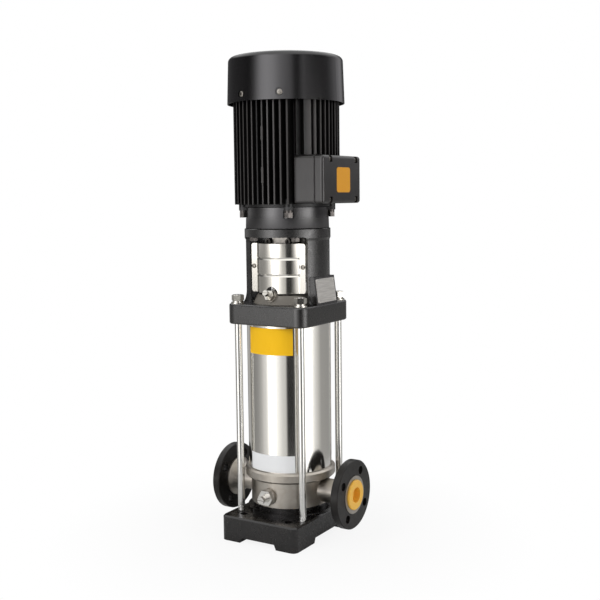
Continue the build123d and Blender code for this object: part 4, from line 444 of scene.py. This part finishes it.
# Guard screws. Pan heads with a cross recess, plain stainless steel, through the guards' side flanges.
# The same steel serves for the screws of the cowl and of the terminal box.
GUARD_SCREW_X = 48.0
GUARD_FLANGE_Y = 30.4
GUARD_SCREW_Z = 455.25
SCREW_SEGMENTS = 32
SOLID_SHARE = 0.36        # radius of the recess between its four arms, in arm lengths
screw_steel = new_material("dull_stainless_screw_steel", "#8d8982", 1.0, 0.3)
raise_skin(screw_steel, unevenness(screw_steel, 1.5 * MM, 1.0), 0.02 * MM)


def screw_mesh(name, head_r, head, shank_r, length, recess_r, recess):
    """A screw along Z with its head's seat at height 0, lathed ring by ring, with a cross recess."""
    def arm(turn):
        return recess_r * (SOLID_SHARE + (1 - SOLID_SHARE) * abs(cos(2 * turn)) ** 4)

    rings = [(arm, head - recess), (arm, head), (lambda turn: 0.78 * head_r, 0.9 * head),
             (lambda turn: 0.94 * head_r, 0.66 * head), (lambda turn: head_r, 0.36 * head),
             (lambda turn: head_r, 0.0), (lambda turn: shank_r, 0.0), (lambda turn: shank_r, -length)]
    points = [(0.0, 0.0, head - recess), (0.0, 0.0, -length)]
    for radius, z in rings:
        for step in range(SCREW_SEGMENTS):
            turn = 2 * pi * step / SCREW_SEGMENTS
            points.append((radius(turn) * cos(turn), radius(turn) * sin(turn), z))
    faces = []
    last = 2 + (len(rings) - 1) * SCREW_SEGMENTS
    for step in range(SCREW_SEGMENTS):
        ahead = (step + 1) % SCREW_SEGMENTS
        faces.append((0, 2 + step, 2 + ahead))
        faces.append((1, last + ahead, last + step))
        for ring in range(len(rings) - 1):
            here, below = 2 + ring * SCREW_SEGMENTS, 2 + (ring + 1) * SCREW_SEGMENTS
            faces.append((here + ahead, here + step, below + step, below + ahead))
    mesh = bpy.data.meshes.new(name)
    mesh.from_pydata([(x * MM, y * MM, z * MM) for x, y, z in points], [], faces)
    return mesh


def build_guard_screws(tree, given):
    """A screw at each side of the front guard, and the same pair turned round to the rear."""
    across = add_node(tree, "ShaderNodeMath", {"operation": "MULTIPLY", 1: -1.0}, {0: given["Across"]})
    facing = add_node(tree, "GeometryNodeTransform", {"Rotation": (pi / 2, 0.0, 0.0)},
                      {"Geometry": given["Geometry"]})
    pair = add_node(tree, "GeometryNodeJoinGeometry")
    for side in (given["Across"], across.outputs["Value"]):
        place = add_node(tree, "ShaderNodeCombineXYZ", None,
                         {"X": side, "Y": given["Forward"], "Z": given["Height"]})
        one = add_node(tree, "GeometryNodeTransform", None,
                       {"Geometry": facing.outputs["Geometry"], "Translation": place.outputs["Vector"]})
        tree.links.new(one.outputs["Geometry"], pair.inputs["Geometry"])
    turned = add_node(tree, "GeometryNodeTransform", {"Rotation": (0.0, 0.0, pi)},
                      {"Geometry": pair.outputs["Geometry"]})
    both = add_node(tree, "GeometryNodeJoinGeometry")
    for shape in (pair, turned):
        tree.links.new(shape.outputs["Geometry"], both.inputs["Geometry"])
    return both.outputs["Geometry"]


guard_screws = grow("guard_screw_heads",
                    {"Across": GUARD_SCREW_X * MM, "Forward": -GUARD_FLANGE_Y * MM,
                     "Height": GUARD_SCREW_Z * MM},
                    build_guard_screws, screw_steel,
                    screw_mesh("guard_screw", head_r=3.8, head=2.6, shank_r=2.5, length=9.0,
                               recess_r=2.2, recess=1.5))
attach(guard_screws, "stand")
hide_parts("guard_screws")


# Drive end shield of the motor, the bell under its frame. Cast aluminium, turned outside, which leaves
# fine rings under the black motor paint. Its pockets are as cast.
BELL_TURNED_R = 68.9
BELL_CAST_R = 69.9
bell_paint = new_material("motor_paint_over_turned_aluminium", "#0b090a", 0.0, 0.2, {"IOR": 1.68})
# The tool's feed is about 0.3 mm, drawn at 1.1 mm so that its rings show
raise_skin(bell_paint, unevenness(bell_paint, 1.1 * MM, 2.0, (0.02, 0.02, 1.0)), 0.012 * MM)
# The lugs stand outside the tool's reach and keep their cast skin
bell_tree = bell_paint.node_tree
bell_place = add_node(bell_tree, "ShaderNodeTexCoord").outputs["Object"]
bell_level = add_node(bell_tree, "ShaderNodeMapping", {"Scale": (1.0, 1.0, 0.0)}, {"Vector": bell_place})
bell_radius = add_node(bell_tree, "ShaderNodeVectorMath", {"operation": "LENGTH"},
                       {0: bell_level.outputs["Vector"]})
turned_gloss = add_node(bell_tree, "ShaderNodeMapRange",
                        {"From Min": BELL_TURNED_R * MM, "From Max": BELL_CAST_R * MM,
                         "To Min": 0.18, "To Max": 0.6}, {"Value": bell_radius.outputs["Value"]})
bell_tree.links.new(turned_gloss.outputs["Result"], bell_tree.nodes["Principled BSDF"].inputs["Roughness"])
finish(bell_paint, "drive_end_shield")


# Bolts of the motor: four up through the bell into the frame and four down through it into the stool.
# Painted over with the motor and worn bright at the corners where the spanner bit.
painted_bolt = new_material("spanner_worn_painted_steel", "#45423f", 0.65, 0.26)
vary_colour(painted_bolt, unevenness(painted_bolt, 6 * MM, 2.0), ("#3a3735", "#504c49"))
raise_skin(painted_bolt, unevenness(painted_bolt, 3.0 * MM, 1.0), 0.04 * MM)
finish(painted_bolt, "bell_bolts", "motor_bolts")


# Motor frame and fan end shield. Aluminium, die cast with its cooling ribs, and painted black. The paint
# is thin on the ribs' edges and lies matt between them.
PAD_ANGLE = 55.0
PAD_HIGHLIGHT_HALF_WIDTH = 4.5     # from the pad's middle to where the painted highlight is full, across the pad
PAD_FACE = 86.0
PAD_FACE_EDGE = 84.0
FIN_BOSS_R = 88.0
FIN_TIP_R = 87.7
MIX_FIRST, MIX_SECOND, MIX_RESULT = 6, 7, 2     # the colour sockets of a Mix node
motor_paint = new_material("motor_paint_over_die_cast_aluminium", "#0d0c0c", 0.0, 0.36, {"IOR": 1.4})
vary_colour(motor_paint, unevenness(motor_paint, 18 * MM), ("#0f0e0e", "#0b0a0a"))
vary_gloss(motor_paint, unevenness(motor_paint, 8 * MM), 0.32, 0.42)
raise_skin(motor_paint, unevenness(motor_paint, 2.2 * MM, 3.0), 0.06 * MM)
# Painted highlight: a lighter grey along the outer side of the pad at the front right, standing in for the
# light on it. The bosses that stand proud of the ribs are painted the same lighter grey
frame_tree = motor_paint.node_tree
frame_place = add_node(frame_tree, "ShaderNodeTexCoord").outputs["Object"]
pad_view = add_node(frame_tree, "ShaderNodeMapping", {"Rotation": (0.0, 0.0, -radians(PAD_ANGLE))},
                    {"Vector": frame_place})
pad_parts = add_node(frame_tree, "ShaderNodeSeparateXYZ", None, {0: pad_view.outputs["Vector"]})
pad_outside = add_node(frame_tree, "ShaderNodeMapRange",
                       {"From Min": -PAD_HIGHLIGHT_HALF_WIDTH * MM, "From Max": PAD_HIGHLIGHT_HALF_WIDTH * MM},
                       {"Value": pad_parts.outputs["X"]})
pad_face = add_node(frame_tree, "ShaderNodeMapRange",
                    {"From Min": -PAD_FACE_EDGE * MM, "From Max": -PAD_FACE * MM},
                    {"Value": pad_parts.outputs["Y"]})
pad_painted_highlight = add_node(frame_tree, "ShaderNodeMath", {"operation": "MULTIPLY"},
                      {0: pad_outside.outputs["Result"], 1: pad_face.outputs["Result"]})
frame_level = add_node(frame_tree, "ShaderNodeMapping", {"Scale": (1.0, 1.0, 0.0)}, {"Vector": frame_place})
frame_radius = add_node(frame_tree, "ShaderNodeVectorMath", {"operation": "LENGTH"},
                        {0: frame_level.outputs["Vector"]})
proud = add_node(frame_tree, "ShaderNodeMapRange",
                 {"From Min": FIN_TIP_R * MM, "From Max": FIN_BOSS_R * MM},
                 {"Value": frame_radius.outputs["Value"]})
grey_bosses_and_pad_highlight = add_node(frame_tree, "ShaderNodeMath", {"operation": "MAXIMUM"},
                  {0: pad_painted_highlight.outputs["Value"], 1: proud.outputs["Result"]})
frame_base_colour = frame_tree.nodes["Principled BSDF"].inputs["Base Color"].links[0].from_socket
# Mixes in the lighter grey of the painted pad highlight and of the bosses
painted_highlight_grey = add_node(frame_tree, "ShaderNodeMix", {"data_type": "RGBA", MIX_SECOND: srgb("#3d3b3a")},
                  {"Factor": grey_bosses_and_pad_highlight.outputs["Value"], MIX_FIRST: frame_base_colour})
frame_tree.links.new(painted_highlight_grey.outputs[MIX_RESULT], frame_tree.nodes["Principled BSDF"].inputs["Base Color"])
finish(motor_paint, "motor_frame", "fan_end_shield")


# Stator and rotor. Stamped electrical sheet, 0.5 mm, stacked and pressed, with end windings of
# lacquered copper wire, and a shaft of ground steel in two ball bearings.
stacked_sheet = new_material("stacked_electrical_sheet", "#6d6a68", 1.0, 0.45)
# The sheets are 0.5 mm thick, drawn at 1 mm so that they show
raise_skin(stacked_sheet, unevenness(stacked_sheet, 1.0 * MM, 1.0, (0.01, 0.01, 1.0)), 0.1 * MM)
finish(stacked_sheet, "stator_core", "rotor_core")
lacquered_copper = new_material("lacquered_copper_wire", "#9c4f24", 1.0, 0.32)
raise_skin(lacquered_copper, unevenness(lacquered_copper, 1.6 * MM, 1.0, (0.25, 0.25, 1.0)), 0.5 * MM)
finish(lacquered_copper, "stator_windings")
finish(ground_steel, "motor_shaft")
finish(turned_steel, "bearing_outer_rings", "bearing_inner_rings")


# Fan. Glass filled nylon, moulded in one piece, pushed on the shaft's end. Slightly matt and mottled.
fan_nylon = new_material("moulded_glass_filled_nylon", "#262523", 0.0, 0.5, {"IOR": 1.53})
vary_colour(fan_nylon, unevenness(fan_nylon, 3 * MM, 3.0), ("#22211f", "#2c2a28"))
raise_skin(fan_nylon, unevenness(fan_nylon, 0.8 * MM, 2.0), 0.02 * MM)
finish(fan_nylon, "fan")


# Fan cowl. Deep drawn steel sheet, powder coated black, so it has a soft gloss with a faint ripple.
# Four screws hold it in pressed dimples.
COWL_SCREW_SEAT_R = 94.3
COWL_SCREW_Z = 732.5
COWL_SCREW_ANGLES = (-15.2, 26.4)     # from the front, the other two opposite
cowl_coat = new_material("black_powder_coat", "#0c0b0c", 0.0, 0.2, {"IOR": 1.6})
raise_skin(cowl_coat, unevenness(cowl_coat, 2.6 * MM, 2.0), 0.015 * MM)
raise_skin(cowl_coat, unevenness(cowl_coat, 45 * MM, 1.0), 0.12 * MM)
finish(cowl_coat, "fan_cowl")


def build_cowl_screws(tree, given):
    """A screw out from the shaft's axis at two angles, and again on the far side."""
    seat = add_node(tree, "ShaderNodeCombineXYZ", None, {"Y": given["Forward"], "Z": given["Height"]})
    front = add_node(tree, "GeometryNodeTransform", {"Rotation": (pi / 2, 0.0, 0.0)},
                     {"Geometry": given["Geometry"], "Translation": seat.outputs["Vector"]})
    ring = add_node(tree, "GeometryNodeJoinGeometry")
    for angle in ("First angle", "Second angle"):
        for half_turn in (0.0, pi):
            turn = add_node(tree, "ShaderNodeMath", {"operation": "ADD", 1: half_turn}, {0: given[angle]})
            spin = add_node(tree, "ShaderNodeCombineXYZ", None, {"Z": turn.outputs["Value"]})
            one = add_node(tree, "GeometryNodeTransform", None,
                           {"Geometry": front.outputs["Geometry"], "Rotation": spin.outputs["Vector"]})
            tree.links.new(one.outputs["Geometry"], ring.inputs["Geometry"])
    return ring.outputs["Geometry"]


cowl_screws = grow("cowl_screw_heads",
                   {"Forward": -COWL_SCREW_SEAT_R * MM, "Height": COWL_SCREW_Z * MM,
                    "First angle": radians(COWL_SCREW_ANGLES[0]),
                    "Second angle": radians(COWL_SCREW_ANGLES[1])},
                   build_cowl_screws, screw_steel,
                   screw_mesh("cowl_screw", head_r=4.6, head=2.6, shank_r=2.5, length=9.0,
                              recess_r=2.6, recess=1.6))
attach(cowl_screws, "stand")
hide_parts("cowl_screws")


# Terminal box. Cast aluminium, painted with the motor, on its saddle at the side of the frame, with a
# plastic board and its gland of moulded polyamide on the far side.
BOX_SEAM = 89.5
SEAM_ROUNDING = 1.9
box_paint = new_material("motor_paint_on_box_casting", "#1b1918", 0.0, 0.28, {"IOR": 1.55})
vary_colour(box_paint, unevenness(box_paint, 20 * MM), ("#1e1c1b", "#191716"))
raise_skin(box_paint, unevenness(box_paint, 2.0 * MM, 3.0), 0.05 * MM)
raise_skin(box_paint, unevenness(box_paint, 35 * MM, 1.0), 0.12 * MM)
# Both castings are rounded off where they meet at the gasket, which draws a dark line round the box
seam_tree = box_paint.node_tree
seam_place = add_node(seam_tree, "ShaderNodeTexCoord")
seam_parts = add_node(seam_tree, "ShaderNodeSeparateXYZ", None, {0: seam_place.outputs["Object"]})
from_seam = add_node(seam_tree, "ShaderNodeMath", {"operation": "SUBTRACT", 1: BOX_SEAM * MM},
                     {0: seam_parts.outputs["X"]})
off_seam = add_node(seam_tree, "ShaderNodeMath", {"operation": "ABSOLUTE"}, {0: from_seam.outputs["Value"]})
rounding = add_node(seam_tree, "ShaderNodeMapRange",
                    {"interpolation_type": "SMOOTHERSTEP", "From Min": 0.0,
                     "From Max": SEAM_ROUNDING * MM}, {"Value": off_seam.outputs["Value"]})
raise_skin(box_paint, rounding.outputs["Result"], SEAM_ROUNDING * MM)
finish(box_paint, "terminal_box", "terminal_cover")
moulded_board = new_material("moulded_black_polyamide", "#1f1e1d", 0.0, 0.4, {"IOR": 1.53})
raise_skin(moulded_board, unevenness(moulded_board, 1.2 * MM, 2.0), 0.02 * MM)
finish(moulded_board, "terminal_board", "cable_gland")


# Screws of the box's cover. Four small pan heads with a cross recess, stainless steel like the guard's,
# sunk in pockets at the cover's corners.
COVER_SCREWS_ACROSS = 83.0
COVER_SCREWS_UP = 63.6
COVER_SCREW_SEAT_X = 102.0
COVER_SCREWS_Y = 4.5
COVER_SCREWS_Z = 596.65


def build_cover_screws(tree, given):
    """Four screws on the corners of a rectangle that stands on the +X side."""
    corners = add_node(tree, "GeometryNodeMeshGrid", {"Vertices X": 2, "Vertices Y": 2},
                       {"Size X": given["Up"], "Size Y": given["Across"]})
    each = add_node(tree, "GeometryNodeInstanceOnPoints", None,
                    {"Points": corners.outputs["Mesh"], "Instance": given["Geometry"]})
    place = add_node(tree, "ShaderNodeCombineXYZ", None,
                     {"X": given["Out"], "Y": given["Shift"], "Z": given["Height"]})
    return add_node(tree, "GeometryNodeTransform", {"Rotation": (0.0, pi / 2, 0.0)},
                    {"Geometry": each.outputs["Instances"],
                     "Translation": place.outputs["Vector"]}).outputs["Geometry"]


cover_screws = grow("cover_screw_heads",
                    {"Across": COVER_SCREWS_ACROSS * MM, "Up": COVER_SCREWS_UP * MM,
                     "Out": COVER_SCREW_SEAT_X * MM, "Shift": COVER_SCREWS_Y * MM,
                     "Height": COVER_SCREWS_Z * MM},
                    build_cover_screws, screw_steel,
                    screw_mesh("cover_screw", head_r=3.4, head=2.4, shank_r=2.0, length=26.0,
                               recess_r=2.0, recess=1.4))
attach(cover_screws, "stand")
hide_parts("terminal_cover_screws")


# Blank sticker on the cover. Amber film with rounded corners, die cut and pressed on, with nothing
# printed on it.
STICKER_WIDTH = 44.0
STICKER_HEIGHT = 40.0
STICKER_CORNER_R = 5.0
STICKER_MIDDLE_Y = 3.0
STICKER_MIDDLE_Z = 596.0
STICKER_BACK_X = 105.9
STICKER_FACE_X = 106.15


def rounded_outline(width, height, corner, steps):
    """Points round a rectangle with rounded corners, counter-clockwise."""
    points = []
    for quarter, (x, y) in enumerate(((1, 1), (-1, 1), (-1, -1), (1, -1))):
        for step in range(steps + 1):
            turn = (quarter + step / steps) * pi / 2
            points.append((x * (width / 2 - corner) + corner * cos(turn),
                           y * (height / 2 - corner) + corner * sin(turn)))
    return points


outline = rounded_outline(STICKER_WIDTH, STICKER_HEIGHT, STICKER_CORNER_R, 6)
count = len(outline)
sticker_points = [(x * MM, (STICKER_MIDDLE_Y + y) * MM, (STICKER_MIDDLE_Z + z) * MM)
                  for x in (STICKER_BACK_X, STICKER_FACE_X) for y, z in outline]
sticker_back, sticker_face = tuple(range(count - 1, -1, -1)), tuple(range(count, 2 * count))
sticker_edge = [(i, (i + 1) % count, count + (i + 1) % count, count + i) for i in range(count)]
sticker_mesh = bpy.data.meshes.new("blank_sticker")
sticker_mesh.from_pydata(sticker_points, [], [sticker_back, sticker_face] + sticker_edge)
sticker = bpy.data.objects.new("blank_sticker", sticker_mesh)
bpy.context.scene.collection.objects.link(sticker)
amber_film = new_material("amber_vinyl_film", "#e09a10", 0.0, 0.4, {"IOR": 1.46})
raise_skin(amber_film, unevenness(amber_film, 7 * MM, 1.0), 0.04 * MM)
sticker_mesh.materials.append(amber_film)
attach(sticker, "stand")


# Floor of the studio: a small round table top, pale and matt. To the camera it fades into the white
# backdrop round its edge and keeps a little of the pump's shadow in the middle.
TABLE_R = 0.5
TABLE_SIDES = 96
FADE_FROM = 0.16
FADE_TO = 0.42
WHITE_IN_THE_MIDDLE = 0.88
rim_turns = [2 * pi * side / TABLE_SIDES for side in range(TABLE_SIDES)]
table_mesh = bpy.data.meshes.new("table_top")
table_mesh.from_pydata([(TABLE_R * cos(turn), TABLE_R * sin(turn), 0.0) for turn in rim_turns], [],
                       [tuple(range(TABLE_SIDES))])
table_top = bpy.data.objects.new("table_top", table_mesh)
bpy.context.scene.collection.objects.link(table_top)
table_white = new_material("matt_white_table", "#efefef", 0.0, 0.9)
table_tree = table_white.node_tree
glow = add_node(table_tree, "ShaderNodeEmission", {"Color": (1, 1, 1, 1), "Strength": 1.0})
table_place = add_node(table_tree, "ShaderNodeTexCoord")
from_middle = add_node(table_tree, "ShaderNodeVectorMath", {"operation": "LENGTH"},
                       {0: table_place.outputs["Object"]})
fade = add_node(table_tree, "ShaderNodeMapRange",
                {"From Min": FADE_FROM, "From Max": FADE_TO, "To Min": WHITE_IN_THE_MIDDLE, "To Max": 1.0},
                {"Value": from_middle.outputs["Value"]})
table_ray = add_node(table_tree, "ShaderNodeLightPath")
seen = add_node(table_tree, "ShaderNodeMath", {"operation": "MULTIPLY"},
                {0: table_ray.outputs["Is Camera Ray"], 1: fade.outputs["Result"]})
table_look = add_node(table_tree, "ShaderNodeMixShader", None,
                      {0: seen.outputs["Value"], 1: table_tree.nodes["Principled BSDF"].outputs[0],
                       2: glow.outputs[0]})
table_tree.links.new(table_look.outputs[0], table_tree.nodes["Material Output"].inputs["Surface"])
table_mesh.materials.append(table_white)


# Studio round it: white to the camera, pale to scattered light, and to reflections three rings of pale
# screens, one over the other, with a dark gap where the photographer stands, as the polished steel shows.
# Each stop is degrees round from the front (-Y) towards +X, and brightness. Reflections that look down
# see the low ring, level ones the middle ring, and those that look up the high ring, then the ceiling.
ROOM = 0.6
SCREEN = 3.6
CEILING = 0.45
LOW_RING = ((-180, 0.2), (-172, 0.05), (-130, 0.05), (-122, 0.16), (-105, 0.12), (-92, 0.08), (-78, 0.09),
            (-64, 0.11), (-52, 0.16), (-42, 0.24), (-36, 0.26), (-33, 0.3), (-29, 0.42), (-24, 0.75),
            (-10, 0.75), (-4, 0.42), (3, 0.36), (12, 0.26), (23, 0.21), (26, 0.01), (42, 0.01), (46, 0.03),
            (53, 0.08), (62, 0.2), (70, 0.29), (76, 0.7), (92, 0.7), (99, 0.4), (107, 0.28), (129, 0.125),
            (165, 0.11))
MIDDLE_RING = ((-180, 0.03), (-130, 0.03), (-95, 0.2), (-62, 0.12), (-50, 0.25), (-42, 0.55), (-33, 1.1),
               (-22, 1.6), (-8, 1.5), (0, 0.8), (6, 0.3), (14, 0.03), (26, 0.0), (44, 0.0), (52, 0.22),
               (60, 0.65), (70, 1.3), (80, 2.4), (94, 2.9), (101, 2.0), (108, 0.8), (116, 0.2), (124, 0.05),
               (140, 0.0), (180, 0.03))
HIGH_RING = ((-180, 0.03), (-60, 0.03), (-44, 0.0), (-37, 0.03), (-30, 0.18), (-23, 0.52), (-17, 0.8),
             (-4, 0.95), (8, 0.83), (20, 0.53), (31, 0.39), (43, 0.26), (49, 0.04), (56, 0.0), (62, 0.1),
             (67, 0.24), (74, 0.1), (80, 0.07), (92, 0.02), (122, 0.06), (140, 0.18), (165, 0.26),
             (174, 0.2), (180, 0.05))
# How steeply a reflection runs up where each ring takes over from the one under it, from 0 to 1
MIDDLE_RING_RISE = (-0.055, -0.045)
HIGH_RING_RISE = (0.02, 0.045)
CEILING_RISE = (0.35, 0.6)
LOW_TINT, MIDDLE_TINT, HIGH_TINT = (1.0, 0.99, 0.97), (1.0, 0.98, 0.98), (1.0, 0.98, 1.01)
world = bpy.data.worlds.new("studio")
bpy.context.scene.world = world
world.use_nodes = True
tree = world.node_tree
room = tree.nodes["Background"]
room.inputs["Color"].default_value = (1, 1, 1, 1)
room.inputs["Strength"].default_value = ROOM
direction = add_node(tree, "ShaderNodeTexCoord")
parts = add_node(tree, "ShaderNodeSeparateXYZ", None, {0: direction.outputs["Generated"]})
to_front = add_node(tree, "ShaderNodeMath", {"operation": "MULTIPLY", 1: -1.0}, {0: parts.outputs["Y"]})
angle = add_node(tree, "ShaderNodeMath", {"operation": "ARCTAN2"},
                 {0: parts.outputs["X"], 1: to_front.outputs["Value"]})
turn = add_node(tree, "ShaderNodeMapRange", {"From Min": -pi, "From Max": pi},
                {"Value": angle.outputs["Value"]})
rings = []
for stops, tint in ((LOW_RING, LOW_TINT), (MIDDLE_RING, MIDDLE_TINT), (HIGH_RING, HIGH_TINT)):
    ring = add_node(tree, "ShaderNodeValToRGB", None, {"Fac": turn.outputs["Result"]})
    marks = ring.color_ramp.elements
    for index, (degrees_round, value) in enumerate(stops):
        position = degrees_round / 360 + 0.5
        mark = marks[index] if index < 2 else marks.new(position)
        mark.position = position
        mark.color = [value * share for share in tint] + [1.0]
    rings.append(ring)
screens = rings[0].outputs["Color"]
for ring, (foot, top) in ((rings[1], MIDDLE_RING_RISE), (rings[2], HIGH_RING_RISE)):
    lift = add_node(tree, "ShaderNodeMapRange", {"From Min": foot, "From Max": top},
                    {"Value": parts.outputs["Z"]})
    step = add_node(tree, "ShaderNodeMix", {"data_type": "RGBA"},
                    {"Factor": lift.outputs["Result"], MIX_FIRST: screens,
                     MIX_SECOND: ring.outputs["Color"]})
    screens = step.outputs[MIX_RESULT]
ceiling = add_node(tree, "ShaderNodeMapRange", {"From Min": CEILING_RISE[0], "From Max": CEILING_RISE[1]},
                   {"Value": parts.outputs["Z"]})
overhead = add_node(tree, "ShaderNodeMix",
                    {"data_type": "RGBA", MIX_SECOND: (CEILING, CEILING, CEILING, 1.0)},
                    {"Factor": ceiling.outputs["Result"], MIX_FIRST: screens})
ring_light = add_node(tree, "ShaderNodeBackground", {"Strength": SCREEN},
                      {"Color": overhead.outputs[MIX_RESULT]})
backdrop = add_node(tree, "ShaderNodeBackground", {"Color": (1, 1, 1, 1), "Strength": 1.0})
path = add_node(tree, "ShaderNodeLightPath")
gloss_mix = add_node(tree, "ShaderNodeMixShader", None,
                     {0: path.outputs["Is Glossy Ray"], 1: room.outputs[0], 2: ring_light.outputs[0]})
view_mix = add_node(tree, "ShaderNodeMixShader", None,
                    {0: path.outputs["Is Camera Ray"], 1: gloss_mix.outputs[0], 2: backdrop.outputs[0]})
tree.links.new(view_mix.outputs[0], tree.nodes["World Output"].inputs["Surface"])


# Lamps: one big soft box in front to the left, and a lower one at the right, both kept out of the
# reflections, because the rings of screens already stand for them there.
PUMP_MIDDLE = Vector((0, 0, 0.4))


def hang_soft_box(name, around, height, distance, size, power):
    """A square lamp that faces the pump's middle, degrees round it from the front."""
    turn = radians(around)
    spot = Vector((distance * sin(turn), -distance * cos(turn), height))
    lamp = bpy.data.lights.new(name, "AREA")
    lamp.size = size
    lamp.energy = power
    holder = bpy.data.objects.new(name, lamp)
    holder.matrix_world = (Matrix.Translation(spot)
                           @ (PUMP_MIDDLE - spot).to_track_quat("-Z", "Y").to_matrix().to_4x4())
    holder.visible_glossy = False
    bpy.context.scene.collection.objects.link(holder)


hang_soft_box("key_box", around=-14, height=1.5, distance=2.0, size=1.1, power=16)
hang_soft_box("side_box", around=92, height=0.5, distance=1.8, size=0.9, power=6)


# Camera: where the photographer stood, with the heading, height, tilt and lens measured in the photo.
CAMERA_PLACE = (0.8768, -1.3836, 0.5695)
FOCAL_LENGTH = 58.57
SENSOR_WIDTH = 36.0
heading, pitch, roll = radians(31.68), radians(6.03), radians(-0.65)
right = Vector((cos(heading), sin(heading), 0))
ahead = Vector((-sin(heading), cos(heading), 0))
look = ahead * cos(pitch) - Vector((0, 0, sin(pitch)))
up = right.cross(look)
x_axis = right * cos(roll) + up * sin(roll)
y_axis = up * cos(roll) - right * sin(roll)
lens = bpy.data.cameras.new("camera")
lens.sensor_width = SENSOR_WIDTH
lens.lens = FOCAL_LENGTH
camera = bpy.data.objects.new("camera", lens)
bpy.context.scene.collection.objects.link(camera)
camera.matrix_world = (Matrix.Translation(CAMERA_PLACE)
                       @ Matrix((x_axis, y_axis, -look)).transposed().to_4x4())
bpy.context.scene.camera = camera
bpy.context.scene.view_settings.view_transform = "Standard"
